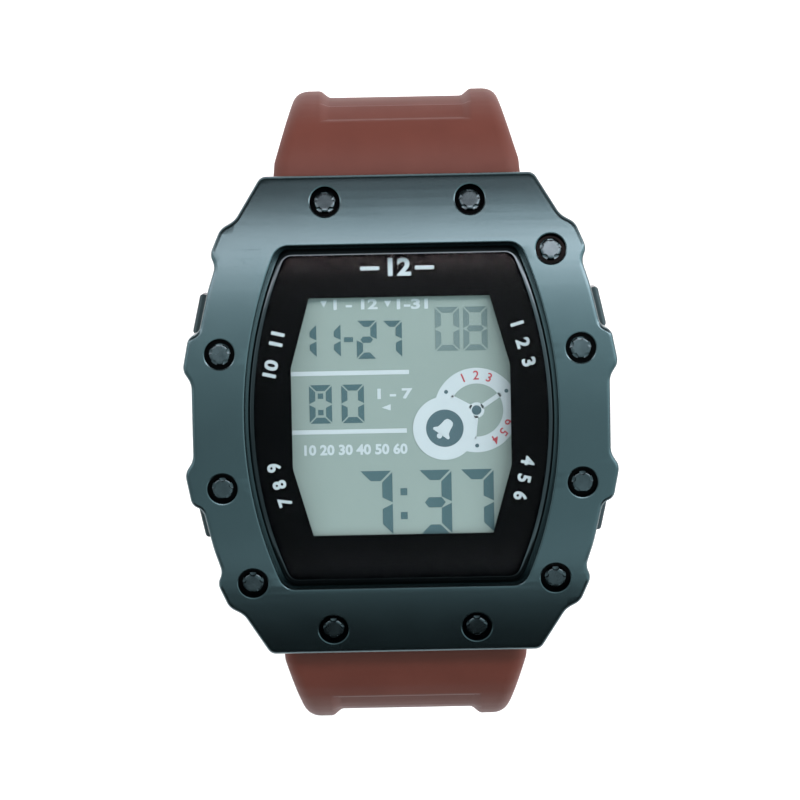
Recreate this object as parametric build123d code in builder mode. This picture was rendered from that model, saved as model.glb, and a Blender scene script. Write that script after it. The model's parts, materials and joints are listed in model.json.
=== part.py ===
"""Digital wristwatch with a barrel case, twelve bezel screws, four pushers and a two-piece strap.

Millimetres. The origin is the centre of the case back's outer face, +Z leaves the dial,
+Y points to twelve o'clock and +X to three o'clock. The strap is unbuckled and hangs in an
open loop below the case, on which the watch stands.
"""
import os
from math import asin, atan2, cos, degrees, radians, sin

from build123d import *

os.makedirs("parts", exist_ok=True)

# Overall heights of the case
back_stand_off = 0.4
body_height = 7.2
bezel_height = 5.8
bezel_bow_radius = 64.0
cut_overrun = 3.0
seat_gap = 0.1
moving_gap = 0.3
running_gap = 0.04
right_angle = 90

# Plan of the bezel, one quarter, from three o'clock towards twelve
flank_x = 20.6
inner_ear_start_y = 3.8
inner_ear_x = 21.45
inner_ear_y = 5.1
inner_ear_end_x = 20.85
inner_ear_end_y = 8.3
valley_start_x = 19.75
valley_start_y = 8.8
valley_mid_x = 18.85
valley_mid_y = 12.8
valley_end_x = 18.1
valley_end_y = 15.2
outer_ear_x = 18.6
outer_ear_y = 16.4
outer_ear_end_x = 17.55
outer_ear_end_y = 18.9
diagonal_start_x = 16.1
diagonal_start_y = 19.7
end_corner_x = 13.55
bezel_end_y = 23.95
bezel_corner_radius = 0.5
bezel_edge_round = 0.45

# Lens opening and lens
lens_half_height = 16.7
lens_end_half_width = 11.6
lens_mid_half_width = 15.1
lens_corner_radius = 1.0
lens_gap = 0.35
lens_recess = 0.35
lens_thickness = 1.6
lens_edge_bevel = 0.4
ledge_width = 1.3
gasket_thickness = 0.4
mask_thickness = 0.3

# Bezel screws
screw_end_x = 7.18
screw_end_y = 21.37
screw_corner_x = 15.05
screw_corner_y = 16.37
screw_flank_x = 17.77
screw_flank_y = 6.66
screw_hole_diameter = 2.95
screw_head_diameter = 2.1
screw_head_height = 0.8
screw_head_recess = 0.15
screw_head_round = 0.25
screw_shank_diameter = 1.2
screw_grip = 0.8

# Movement frame and the room for it in the case body
frame_pocket_half_width = 13.2
frame_pocket_half_length = 13.9
frame_side_wall = 0.8
frame_end_wall = 0.7
frame_half_width = frame_pocket_half_width + frame_side_wall
frame_half_length = frame_pocket_half_length + frame_end_wall
contact_room = 1.6
frame_end_gap = 0.4
cavity_half_width = frame_half_width + contact_room
cavity_half_length = frame_half_length + frame_end_gap
cavity_height = 6.2
cavity_corner_radius = 1.5

# Width of the strap, and the pocket in the case that takes it
strap_half_width = 12.25
strap_side_gap = 0.35
pocket_half_width = strap_half_width + strap_side_gap
pocket_wall_y = 18.3
pocket_roof_z = 6.6

# Plan of the case body: its flanks stand off from the cavity and its lugs from the strap's pocket
flank_wall = 4.1
pad_start_wall = 3.95
pad_end_wall = 2.95
waist_wall = 1.8
shoulder_wall = 3.0
lug_wall = 0.8
body_flank_x = cavity_half_width + flank_wall
body_flank_y = 6.2
pad_start_x = cavity_half_width + pad_start_wall
pad_start_y = 7.7
pad_end_x = cavity_half_width + pad_end_wall
pad_end_y = 12.2
body_waist_x = cavity_half_width + waist_wall
body_waist_y = 15.4
body_shoulder_x = pocket_half_width + shoulder_wall
body_shoulder_y = 19.5
body_end_x = pocket_half_width + lug_wall
body_end_y = 23.5
body_edge_chamfer = 0.6

window_half_width = 13.2
window_half_length = 14.4

# Display opening in the printed mask
window_end_half_width = 8.95
window_mid_half_width = 10.85
view_half_height = 11.85
view_knee_y = 5.0

# Spring bars
bar_y = 21.0
bar_z = 3.7
bar_tube_radius = 0.9
bar_tube_wall = 0.25
bar_tube_inset = 0.35
bar_tube_half_length = strap_half_width - bar_tube_inset
bar_tip_radius = 0.45
bar_shoulder_radius = 0.6
bar_shoulder_length = 3.0
bar_tip_grip = 1.0
bar_tip_reach = pocket_half_width + bar_tip_grip
bar_hole_depth = bar_tip_grip + moving_gap

# Case back
back_side_land = 1.3
back_end_land = 2.6
back_half_width = cavity_half_width + back_side_land
back_half_length = cavity_half_length + back_end_land
back_corner_radius = 4.0
back_thickness = 1.2
back_edge_chamfer = 0.3
back_gasket_width = 0.7
back_gasket_thickness = 0.5
back_screw_x = 11.5
back_screw_y = 16.4
back_screw_head_diameter = 1.9
back_screw_head_height = 0.6
back_screw_recess = 0.1
back_screw_shank_diameter = 1.0
back_screw_length = 3.6

# Pushers
pusher_proud = 0.7
pusher_face_x = body_flank_x + pusher_proud
pusher_face_y = 10.35
pusher_z = 4.2
pusher_length = 4.1
pusher_height = 3.4
pusher_cap_depth = 2.0
pusher_edge_round = 0.4
pusher_travel = 0.8
pusher_stem_radius = 0.7
pusher_stem_reach = 5.9
pusher_clip_depth = 5.35
pusher_clip_thickness = 0.25
pusher_clip_radius = 1.4
pusher_spring_radius = 1.25
pusher_spring_wall = 0.3
pusher_spring_pocket = 0.9
seal_depth = 4.2
seal_thickness = 0.5
seal_radius = 1.15

# Movement, from the carrier frame down to the cell and up to the display
frame_web_z = 4.9
frame_web_top = 6.7
frame_collar_half_width = 12.9
frame_collar_half_length = 14.1
frame_collar_top = 7.5
frame_corner_radius = 1.0
notch_half_length = 2.2
notch_low_z = 2.4
notch_high_z = 6.0
board_thickness = 0.8
boss_inset = 1.6
boss_x = frame_pocket_half_width - boss_inset
boss_y = 7.0
boss_radius = 1.1
display_half_width = 10.95
display_half_length = 13.2
display_thickness = 1.4
polarizer_thickness = 0.2
guide_half_length = 11.9
guide_thickness = 1.0
connector_half_width = 9.5
connector_y = 12.65
connector_width = 0.9
lamp_depth = 1.0
lamp_length = 2.4
cell_radius = 10.0
cell_thickness = 1.6
cell_y = -3.4
cell_rim_round = 0.2
clip_thickness = 0.25
clip_bar_end = 1.1
clip_bar_half_width = boss_x + clip_bar_end
clip_bar_width = 2.2
clip_tongue_half_width = 2.5
clip_tongue_length = 16.0
module_screw_head_radius = 0.8
module_screw_head_height = 0.4
module_screw_shank_radius = 0.4
sounder_radius = 6.0
sounder_thickness = 0.2
sounder_core_radius = 3.5
sounder_core_thickness = 0.1
sounder_y = 7.5
sounder_spring_x = 3.0
sounder_spring_y = 11.0
sounder_spring_radius = 0.75
sounder_spring_wall = 0.25
chip_part_inset = 2.2
chip_part_column_x = -frame_pocket_half_width + chip_part_inset
chip_cover_step = 4.5
chip_cover_x = chip_part_column_x + chip_cover_step
chip_cover_y = 10.6
chip_cover_radius = 2.4
chip_cover_height = 0.9
chip_cover_round = 0.6
quartz_radius = 0.75
quartz_length = 5.0
quartz_inset = 2.0
quartz_x = frame_pocket_half_width - quartz_inset
quartz_y = 11.2
chip_part_length = 1.0
chip_part_width = 0.5
chip_part_height = 0.4
chip_part_row_y = 12.6
chip_part_step = 1.5
chip_part_count = 3
leaf_thickness = 0.2
leaf_gap = 0.1
leaf_half_width = 1.0
leaf_low_z = 3.0
leaf_high_z = 5.4
leaf_foot_length = 1.0

# Strap: a moulded band that leaves the case flat, turns down and lies on the floor
strap_thickness = 2.8
strap_eye_radius = 2.2
strap_bend_y = 22.5
strap_bend_radius = 10.0
strap_corner_radius = 17.0
strap_drop = 58.0
strap_taper_start_y = 23.8
strap_bend_half_width = 10.3
strap_side_half_width = 10.95
strap_narrow_half_width = 9.3
strap_narrow_z = 45.0
strap_edge_round = 0.6
channel_half_width = 8.0
channel_depth = 0.4
channel_start_y = 29.0
channel_buckle_run = 18.0
channel_hole_run = 36.0
tail_flat_length = 12.0
tail_tip_round = 6.5
hole_count = 8
hole_first = 34.0
hole_step = 6.0
hole_length = 3.2
hole_width = 2.2
buckle_side_lean = 12.0
buckle_end_angle = 55.0
buckle_end_length = 2.5
pin_eye_radius = 1.6
pin_radius = 0.75
buckle_half_width = 11.9
buckle_arm_width = 2.2
buckle_length = 9.6
buckle_bar_width = 2.4
buckle_arm_overhang = 1.5
buckle_thickness = 2.4
buckle_floor_gap = 0.4
buckle_corner_radius = 1.8
buckle_edge_round = 0.35
tongue_half_width = 1.1
tongue_eye_radius = 1.4
tongue_thickness = 1.05
tongue_floor_gap = 0.25
tongue_length = 9.4
tongue_side_gap = 0.35
keeper_width = 4.8
keeper_wall = 1.3
keeper_gap = 0.25
keeper_room = 3.2
keeper_corner_radius = 1.2
free_keeper_z = 30.0
free_keeper_travel = 6.0
fixed_keeper_distance = 3.5


def flip(points, x_sign, y_sign):
    """Mirror plan points into one quarter."""
    return [(x * x_sign, y * y_sign) for x, y in points]


def closed_quarters(quarter):
    """Run one quarter's points, given from three o'clock to twelve, round all four quarters."""
    upper_right = flip(quarter, 1, 1)
    upper_left = flip(quarter[::-1], -1, 1)
    lower_left = flip(quarter, -1, -1)
    lower_right = flip(quarter[::-1], 1, -1)
    return upper_right + upper_left + lower_left + lower_right


body_z = back_stand_off
flank_angle = degrees(atan2(pad_start_x - pad_end_x, pad_end_y - pad_start_y))
pusher_planes = {}
for y_word, y_sign in (("upper", 1), ("lower", -1)):
    for x_word, x_sign in (("right", 1), ("left", -1)):
        pusher_planes[f"{y_word}_{x_word}"] = Plane(
            origin=(pusher_face_x * x_sign, pusher_face_y * y_sign, pusher_z),
            x_dir=(0, 0, 1),
            z_dir=(cos(radians(flank_angle)) * x_sign, sin(radians(flank_angle)) * y_sign, 0),
        )
bezel_z = body_z + body_height
bezel_top = bezel_z + bezel_height
lens_top = bezel_top - lens_recess
lens_bow_radius = bezel_bow_radius - lens_recess


def bowed_height(top, radius, y):
    """Height of a face that is bowed along Y about an axis below the dial."""
    return top - radius + (radius**2 - y**2) ** 0.5


bezel_quarter = [
    (flank_x, inner_ear_start_y),
    (inner_ear_x, inner_ear_y),
    (inner_ear_end_x, inner_ear_end_y),
    (valley_start_x, valley_start_y),
    (valley_mid_x, valley_mid_y),
    (valley_end_x, valley_end_y),
    (outer_ear_x, outer_ear_y),
    (outer_ear_end_x, outer_ear_end_y),
    (diagonal_start_x, diagonal_start_y),
    (end_corner_x, bezel_end_y),
]
body_quarter = [
    (body_flank_x, body_flank_y),
    (pad_start_x, pad_start_y),
    (pad_end_x, pad_end_y),
    (body_waist_x, body_waist_y),
    (body_shoulder_x, body_shoulder_y),
    (body_end_x, body_end_y),
]
screw_places = []
for quarter_x, quarter_y in [
    (screw_end_x, screw_end_y),
    (screw_corner_x, screw_corner_y),
    (screw_flank_x, screw_flank_y),
]:
    for x_sign in (1, -1):
        for y_sign in (1, -1):
            screw_places.append((quarter_x * x_sign, quarter_y * y_sign))


def barrel_face(grow):
    """Draw the lens outline, grown all round by a length: flat ends and sides bowed outwards."""
    half_height = lens_half_height + grow
    end_half_width = lens_end_half_width + grow
    mid_half_width = lens_mid_half_width + grow
    with BuildSketch() as face:
        with BuildLine():
            Line((-end_half_width, half_height), (end_half_width, half_height))
            ThreePointArc(
                (end_half_width, half_height), (mid_half_width, 0), (end_half_width, -half_height)
            )
            Line((end_half_width, -half_height), (-end_half_width, -half_height))
            ThreePointArc(
                (-end_half_width, -half_height), (-mid_half_width, 0), (-end_half_width, half_height)
            )
        make_face()
        fillet(face.vertices(), lens_corner_radius)
    return face.sketch


def bowed_band(low_top, low_radius, high_top, high_radius, half_length):
    """Draw the side view of a layer between two bowed faces, in plan of Y and Z."""
    low_end = bowed_height(low_top, low_radius, half_length)
    high_end = bowed_height(high_top, high_radius, half_length)
    with BuildSketch() as side:
        with BuildLine():
            ThreePointArc((-half_length, low_end), (0, low_top), (half_length, low_end))
            Line((half_length, low_end), (half_length, high_end))
            ThreePointArc((half_length, high_end), (0, high_top), (-half_length, high_end))
            Line((-half_length, high_end), (-half_length, low_end))
        make_face()
    return side.sketch


# The bezel: a thick ring, bowed along Y, with a ledge under the lens and twelve screw holes
ledge_top = lens_top - lens_thickness - gasket_thickness
ledge_bow_radius = lens_bow_radius - lens_thickness - gasket_thickness
with BuildPart() as bezel:
    with BuildSketch(Plane.XY.offset(bezel_z)) as bezel_plan:
        with BuildLine():
            Polyline(closed_quarters(bezel_quarter), close=True)
        make_face()
        fillet(bezel_plan.vertices(), bezel_corner_radius)
    extrude(amount=bezel_height + cut_overrun)
    with BuildSketch(Plane.YZ):
        with BuildLine():
            reach = bezel_end_y + cut_overrun
            rim = bowed_height(bezel_top, bezel_bow_radius, reach)
            ThreePointArc((-reach, rim), (0, bezel_top), (reach, rim))
            Polyline((reach, rim), (reach, body_z), (-reach, body_z), (-reach, rim))
        make_face()
    extrude(amount=inner_ear_x + cut_overrun, both=True, mode=Mode.INTERSECT)
    crown_edges = bezel.faces().sort_by(Axis.Z)[-1].outer_wire().edges()
    end_wall_height = bowed_height(bezel_top, bezel_bow_radius, bezel_end_y) - bezel_z
    chamfer(crown_edges, min(bezel_edge_round, end_wall_height / 2))
    add(extrude(Plane.XY.offset(bezel_z) * barrel_face(-ledge_width), bezel_height + cut_overrun,
                mode=Mode.PRIVATE), mode=Mode.SUBTRACT)
    ledge_reach = lens_half_height + lens_gap
    side_band = bowed_band(
        ledge_top, ledge_bow_radius, bezel_top + cut_overrun, bezel_bow_radius + cut_overrun, ledge_reach
    )
    lens_well = extrude(Plane.YZ * side_band, inner_ear_x, both=True, mode=Mode.PRIVATE)
    well_column = extrude(Plane.XY.offset(bezel_z) * barrel_face(lens_gap),
                          bezel_height + cut_overrun + cut_overrun, mode=Mode.PRIVATE)
    add(lens_well & well_column, mode=Mode.SUBTRACT)
    for screw_x, screw_y in screw_places:
        seat_z = bowed_height(bezel_top, bezel_bow_radius, abs(screw_y)) - screw_head_recess - screw_head_height
        with BuildSketch(Plane.XY.offset(seat_z)):
            with Locations((screw_x, screw_y)):
                Circle(screw_hole_diameter / 2)
        extrude(amount=bezel_height, mode=Mode.SUBTRACT)
        with BuildSketch(Plane.XY.offset(bezel_z)):
            with Locations((screw_x, screw_y)):
                Circle(screw_shank_diameter / 2)
        extrude(amount=bezel_height, mode=Mode.SUBTRACT)
bezel.part.label = "bezel"
export_step(bezel.part, "parts/bezel.step")

# The twelve bezel screws, each with a rounded head, held in the case body by their ends
with BuildPart() as bezel_screws:
    for screw_x, screw_y in screw_places:
        seat_z = bowed_height(bezel_top, bezel_bow_radius, abs(screw_y)) - screw_head_recess - screw_head_height
        with BuildSketch(Plane.XY.offset(seat_z)):
            with Locations((screw_x, screw_y)):
                Circle(screw_head_diameter / 2)
        head = extrude(amount=screw_head_height)
        fillet(head.edges().group_by(Axis.Z)[-1], screw_head_round)
        with BuildSketch(Plane.XY.offset(bezel_z - screw_grip)):
            with Locations((screw_x, screw_y)):
                Circle(screw_shank_diameter / 2)
        extrude(amount=seat_z - bezel_z + screw_grip)
bezel_screws.part.label = "bezel_screws"
export_step(bezel_screws.part, "parts/bezel_screws.step")


# The case body: a moulded tub, open below for the movement and above for the display
with BuildPart() as case_body:
    with BuildSketch(Plane.XY.offset(body_z)):
        with BuildLine():
            Polyline(closed_quarters(body_quarter), close=True)
        make_face()
    extrude(amount=body_height)
    chamfer(case_body.faces().sort_by(Axis.Z)[0].outer_wire().edges(), body_edge_chamfer)
    with BuildSketch(Plane.XY.offset(body_z)):
        RectangleRounded(2 * cavity_half_width, 2 * cavity_half_length, cavity_corner_radius)
    extrude(amount=cavity_height, mode=Mode.SUBTRACT)
    with BuildSketch(Plane.XY.offset(body_z)):
        Rectangle(2 * window_half_width, 2 * window_half_length)
    extrude(amount=body_height, mode=Mode.SUBTRACT)
    with BuildSketch(Plane.XY.offset(body_z)):
        RectangleRounded(
            2 * (back_half_width + seat_gap), 2 * (back_half_length + seat_gap), back_corner_radius + seat_gap
        )
    extrude(amount=back_thickness - back_stand_off, mode=Mode.SUBTRACT)
    with BuildSketch(Plane.XY.offset(back_thickness)):
        RectangleRounded(
            2 * (cavity_half_width + back_gasket_width),
            2 * (cavity_half_length + back_gasket_width),
            cavity_corner_radius + back_gasket_width,
        )
    extrude(amount=back_gasket_thickness, mode=Mode.SUBTRACT)
    for y_sign in (1, -1):
        pocket_length = body_end_y + cut_overrun - pocket_wall_y
        with BuildSketch(Plane.XY.offset(body_z)):
            with Locations((0, y_sign * (pocket_wall_y + pocket_length / 2))):
                Rectangle(2 * pocket_half_width, pocket_length)
        extrude(amount=pocket_roof_z - body_z, mode=Mode.SUBTRACT)
        with BuildSketch(Plane.YZ):
            with Locations((y_sign * bar_y, bar_z)):
                Circle(bar_tip_radius + running_gap)
        extrude(amount=pocket_half_width + bar_hole_depth, both=True, mode=Mode.SUBTRACT)
        for x_sign in (1, -1):
            with BuildSketch(Plane.XY.offset(body_z)):
                with Locations((x_sign * back_screw_x, y_sign * back_screw_y)):
                    Circle(back_screw_shank_diameter / 2)
            extrude(amount=back_screw_length + back_screw_recess - body_z, mode=Mode.SUBTRACT)
    for screw_x, screw_y in screw_places:
        with BuildSketch(Plane.XY.offset(bezel_z - screw_grip)):
            with Locations((screw_x, screw_y)):
                Circle(screw_shank_diameter / 2)
        extrude(amount=screw_grip, mode=Mode.SUBTRACT)
    for name, face_plane in pusher_planes.items():
        cap_room = pusher_travel + seat_gap
        with BuildSketch(face_plane.offset(-pusher_cap_depth - cap_room)):
            Rectangle(pusher_height + moving_gap, pusher_length + moving_gap)
        extrude(amount=pusher_cap_depth + cap_room, mode=Mode.SUBTRACT)
        with BuildSketch(face_plane.offset(-pusher_cap_depth - cap_room - pusher_spring_pocket)):
            Circle(pusher_spring_radius + running_gap)
        extrude(amount=pusher_spring_pocket, mode=Mode.SUBTRACT)
        with BuildSketch(face_plane.offset(-pusher_stem_reach)):
            Circle(pusher_stem_radius + running_gap)
        extrude(amount=pusher_stem_reach, mode=Mode.SUBTRACT)
        with BuildSketch(face_plane.offset(-seal_depth - seal_thickness)):
            Circle(seal_radius)
        extrude(amount=seal_thickness, mode=Mode.SUBTRACT)
case_body.part.label = "case_body"
export_step(case_body.part, "parts/case_body.step")

# The case back plate, its four screws and its gasket
with BuildPart() as case_back:
    with BuildSketch():
        RectangleRounded(2 * back_half_width, 2 * back_half_length, back_corner_radius)
    extrude(amount=back_thickness)
    chamfer(case_back.faces().sort_by(Axis.Z)[0].edges(), back_edge_chamfer)
    for x_sign in (1, -1):
        for y_sign in (1, -1):
            with BuildSketch():
                with Locations((x_sign * back_screw_x, y_sign * back_screw_y)):
                    Circle(back_screw_head_diameter / 2 + seat_gap)
            extrude(amount=back_screw_recess + back_screw_head_height, mode=Mode.SUBTRACT)
            with BuildSketch():
                with Locations((x_sign * back_screw_x, y_sign * back_screw_y)):
                    Circle(back_screw_shank_diameter / 2)
            extrude(amount=back_thickness, mode=Mode.SUBTRACT)
case_back.part.label = "case_back"
export_step(case_back.part, "parts/case_back.step")

with BuildPart() as case_back_screws:
    for x_sign in (1, -1):
        for y_sign in (1, -1):
            with BuildSketch(Plane.XY.offset(back_screw_recess)):
                with Locations((x_sign * back_screw_x, y_sign * back_screw_y)):
                    Circle(back_screw_head_diameter / 2)
            extrude(amount=back_screw_head_height)
            with BuildSketch(Plane.XY.offset(back_screw_recess)):
                with Locations((x_sign * back_screw_x, y_sign * back_screw_y)):
                    Circle(back_screw_shank_diameter / 2)
            extrude(amount=back_screw_length)
case_back_screws.part.label = "case_back_screws"
export_step(case_back_screws.part, "parts/case_back_screws.step")

with BuildPart() as case_back_gasket:
    with BuildSketch(Plane.XY.offset(back_thickness)):
        RectangleRounded(
            2 * (cavity_half_width + back_gasket_width),
            2 * (cavity_half_length + back_gasket_width),
            cavity_corner_radius + back_gasket_width,
        )
        RectangleRounded(
            2 * cavity_half_width, 2 * cavity_half_length, cavity_corner_radius, mode=Mode.SUBTRACT
        )
    extrude(amount=back_gasket_thickness)
case_back_gasket.part.label = "case_back_gasket"
export_step(case_back_gasket.part, "parts/case_back_gasket.step")


def bowed_layer(low_drop, high_drop, outline):
    """Make a layer under the lens top, between two drops below it, with a plan outline."""
    side = bowed_band(
        lens_top - low_drop,
        lens_bow_radius - low_drop,
        lens_top - high_drop,
        lens_bow_radius - high_drop,
        lens_half_height + lens_gap,
    )
    slab = extrude(Plane.YZ * side, inner_ear_x, both=True, mode=Mode.PRIVATE)
    column = extrude(Plane.XY.offset(body_z) * outline, bezel_top, mode=Mode.PRIVATE)
    return slab & column


# The bowed lens with a bevelled rim, its gasket on the bezel's ledge, and the printed mask
with BuildPart() as crystal:
    add(bowed_layer(lens_thickness, 0, barrel_face(0)))
    chamfer(crystal.faces().sort_by(Axis.Z)[-1].outer_wire().edges(), lens_edge_bevel)
crystal.part.label = "crystal"
export_step(crystal.part, "parts/crystal.step")

with BuildPart() as crystal_gasket:
    add(bowed_layer(lens_thickness + gasket_thickness, lens_thickness, barrel_face(0)))
    add(bowed_layer(lens_thickness + gasket_thickness, lens_thickness, barrel_face(-ledge_width)),
        mode=Mode.SUBTRACT)
crystal_gasket.part.label = "crystal_gasket"
export_step(crystal_gasket.part, "parts/crystal_gasket.step")

with BuildSketch() as window_outline:
    with BuildLine():
        Polyline(
            (window_end_half_width, view_half_height),
            (window_mid_half_width, view_knee_y),
            (window_mid_half_width, -view_knee_y),
            (window_end_half_width, -view_half_height),
            (-window_end_half_width, -view_half_height),
            (-window_mid_half_width, -view_knee_y),
            (-window_mid_half_width, view_knee_y),
            (-window_end_half_width, view_half_height),
            close=True,
        )
    make_face()
with BuildPart() as dial_mask:
    add(bowed_layer(lens_thickness + mask_thickness, lens_thickness, barrel_face(-ledge_width - seat_gap)))
    add(bowed_layer(lens_thickness + mask_thickness, lens_thickness, window_outline.sketch),
        mode=Mode.SUBTRACT)
dial_mask.part.label = "dial_mask"
export_step(dial_mask.part, "parts/dial_mask.step")


# Four pushers: a cap with a stem through the case wall, a return spring, a seal and a clip
for name, face_plane in pusher_planes.items():
    with BuildPart() as pusher:
        with BuildSketch(face_plane.offset(-pusher_cap_depth)):
            Rectangle(pusher_height, pusher_length)
        extrude(amount=pusher_cap_depth)
        outer_face = pusher.faces().filter_by(lambda f: (f.center() - face_plane.origin).length < seat_gap)
        fillet(outer_face[0].edges(), pusher_edge_round)
        with BuildSketch(face_plane.offset(-pusher_stem_reach)):
            Circle(pusher_stem_radius)
        extrude(amount=pusher_stem_reach - pusher_cap_depth)
        with BuildSketch(face_plane.offset(-pusher_clip_depth - pusher_clip_thickness)):
            Circle(pusher_stem_radius)
            Circle(pusher_stem_radius - pusher_spring_wall, mode=Mode.SUBTRACT)
        extrude(amount=pusher_clip_thickness, mode=Mode.SUBTRACT)
    pusher.part.label = f"{name}_pusher"
    export_step(pusher.part, f"parts/{name}_pusher.step")

    with BuildPart() as pusher_spring:
        spring_length = pusher_travel + seat_gap + pusher_spring_pocket
        with BuildSketch(face_plane.offset(-pusher_cap_depth - spring_length)):
            Circle(pusher_spring_radius)
            Circle(pusher_spring_radius - pusher_spring_wall, mode=Mode.SUBTRACT)
        extrude(amount=spring_length)
    pusher_spring.part.label = f"{name}_pusher_spring"
    export_step(pusher_spring.part, f"parts/{name}_pusher_spring.step")

    with BuildPart() as pusher_seal:
        with BuildSketch(face_plane.offset(-seal_depth - seal_thickness)):
            Circle(seal_radius)
            Circle(pusher_stem_radius + running_gap, mode=Mode.SUBTRACT)
        extrude(amount=seal_thickness)
    pusher_seal.part.label = f"{name}_pusher_seal"
    export_step(pusher_seal.part, f"parts/{name}_pusher_seal.step")

    with BuildPart() as pusher_clip:
        with BuildSketch(face_plane.offset(-pusher_clip_depth - pusher_clip_thickness)):
            Circle(pusher_clip_radius)
            Circle(pusher_stem_radius - pusher_spring_wall, mode=Mode.SUBTRACT)
            with Locations((0, pusher_clip_radius)):
                Rectangle(pusher_stem_radius, 2 * pusher_clip_radius, mode=Mode.SUBTRACT)
        extrude(amount=pusher_clip_thickness)
    pusher_clip.part.label = f"{name}_pusher_clip"
    export_step(pusher_clip.part, f"parts/{name}_pusher_clip.step")

# The carrier frame of the movement, with a web between the board and the display
frame_bottom = back_thickness + seat_gap
stem_tip_x = pusher_face_x - pusher_stem_reach * cos(radians(flank_angle))
stem_tip_y = pusher_face_y - pusher_stem_reach * sin(radians(flank_angle))
boss_places = [(boss_x, boss_y), (-boss_x, boss_y)]
board_z = frame_web_z - board_thickness
cell_z = board_z - cell_thickness
clip_z = cell_z - clip_thickness
with BuildPart() as module_frame:
    with BuildSketch(Plane.XY.offset(frame_bottom)):
        RectangleRounded(2 * frame_half_width, 2 * frame_half_length, frame_corner_radius)
    extrude(amount=body_z + cavity_height - seat_gap - frame_bottom)
    with BuildSketch(Plane.XY.offset(frame_web_z)):
        RectangleRounded(2 * frame_collar_half_width, 2 * frame_collar_half_length, frame_corner_radius)
    extrude(amount=frame_collar_top - frame_web_z)
    with BuildSketch(Plane.XY.offset(frame_bottom)):
        Rectangle(2 * frame_pocket_half_width, 2 * frame_pocket_half_length)
    extrude(amount=frame_web_z - frame_bottom, mode=Mode.SUBTRACT)
    with BuildSketch(Plane.XY.offset(frame_web_top)):
        Rectangle(2 * (display_half_width + seat_gap), 2 * (display_half_length + seat_gap))
        with Locations((display_half_width + lamp_depth / 2, 0)):
            Rectangle(lamp_depth + 2 * seat_gap, lamp_length + 2 * seat_gap)
    extrude(amount=frame_collar_top - frame_web_top, mode=Mode.SUBTRACT)
    with BuildSketch(Plane.XY.offset(frame_web_z)):
        with Locations((0, connector_y), (0, -connector_y)):
            Rectangle(2 * (connector_half_width + seat_gap), connector_width + 2 * seat_gap)
    extrude(amount=frame_collar_top - frame_web_z, mode=Mode.SUBTRACT)
    with BuildSketch(Plane.XY.offset(notch_low_z)):
        for x_sign in (1, -1):
            for y_sign in (1, -1):
                notch_depth = frame_half_width + cut_overrun - frame_pocket_half_width
                notch_x = frame_pocket_half_width + notch_depth / 2
                with Locations((x_sign * notch_x, y_sign * stem_tip_y)):
                    Rectangle(notch_depth, 2 * notch_half_length)
    extrude(amount=notch_high_z - notch_low_z, mode=Mode.SUBTRACT)
    with BuildSketch(Plane.XY.offset(cell_z)):
        with Locations(*boss_places):
            Circle(boss_radius)
            Circle(module_screw_shank_radius, mode=Mode.SUBTRACT)
    extrude(amount=frame_web_z - cell_z)
module_frame.part.label = "module_frame"
export_step(module_frame.part, "parts/module_frame.step")

with BuildPart() as circuit_board:
    with BuildSketch(Plane.XY.offset(board_z)):
        Rectangle(2 * (frame_pocket_half_width - seat_gap), 2 * (frame_pocket_half_length - seat_gap))
        with Locations(*boss_places):
            Circle(boss_radius + running_gap, mode=Mode.SUBTRACT)
    extrude(amount=board_thickness)
circuit_board.part.label = "circuit_board"
export_step(circuit_board.part, "parts/circuit_board.step")


def plate(low_z, thickness, half_width, half_length):
    """Make a rectangular plate centred on the dial's axis."""
    with BuildPart() as sheet:
        with BuildSketch(Plane.XY.offset(low_z)):
            Rectangle(2 * half_width, 2 * half_length)
        extrude(amount=thickness)
    return sheet.part


# The display stack on the web: light guide, reflector, cell and front polarizer
reflector_z = frame_web_top + guide_thickness
display_z = reflector_z + polarizer_thickness
display_top = display_z + display_thickness
for name, low_z, thickness, half_length in (
    ("light_guide", frame_web_top, guide_thickness, guide_half_length),
    ("reflector", reflector_z, polarizer_thickness, guide_half_length),
    ("lcd_cell", display_z, display_thickness, display_half_length),
    ("front_polarizer", display_top, polarizer_thickness, guide_half_length),
):
    layer = plate(low_z, thickness, display_half_width, half_length)
    layer.label = name
    export_step(layer, f"parts/{name}.step")

with BuildPart() as zebra_strips:
    with BuildSketch(Plane.XY.offset(frame_web_z)):
        with Locations((0, connector_y), (0, -connector_y)):
            Rectangle(2 * connector_half_width, connector_width)
    extrude(amount=display_z - frame_web_z)
zebra_strips.part.label = "zebra_strips"
export_step(zebra_strips.part, "parts/zebra_strips.step")

with BuildPart() as backlight_led:
    with BuildSketch(Plane.XY.offset(frame_web_top)):
        with Locations((display_half_width + seat_gap / 2 + lamp_depth / 2, 0)):
            Rectangle(lamp_depth, lamp_length)
    extrude(amount=frame_collar_top - frame_web_top)
backlight_led.part.label = "backlight_led"
export_step(backlight_led.part, "parts/backlight_led.step")

# The coin cell against the board, and the clip that holds it, with its two screws
with BuildPart() as coin_cell:
    with BuildSketch(Plane.XY.offset(cell_z)):
        with Locations((0, cell_y)):
            Circle(cell_radius)
    extrude(amount=cell_thickness)
    fillet(coin_cell.edges().group_by(Axis.Z)[0], cell_rim_round)
coin_cell.part.label = "coin_cell"
export_step(coin_cell.part, "parts/coin_cell.step")

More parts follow.
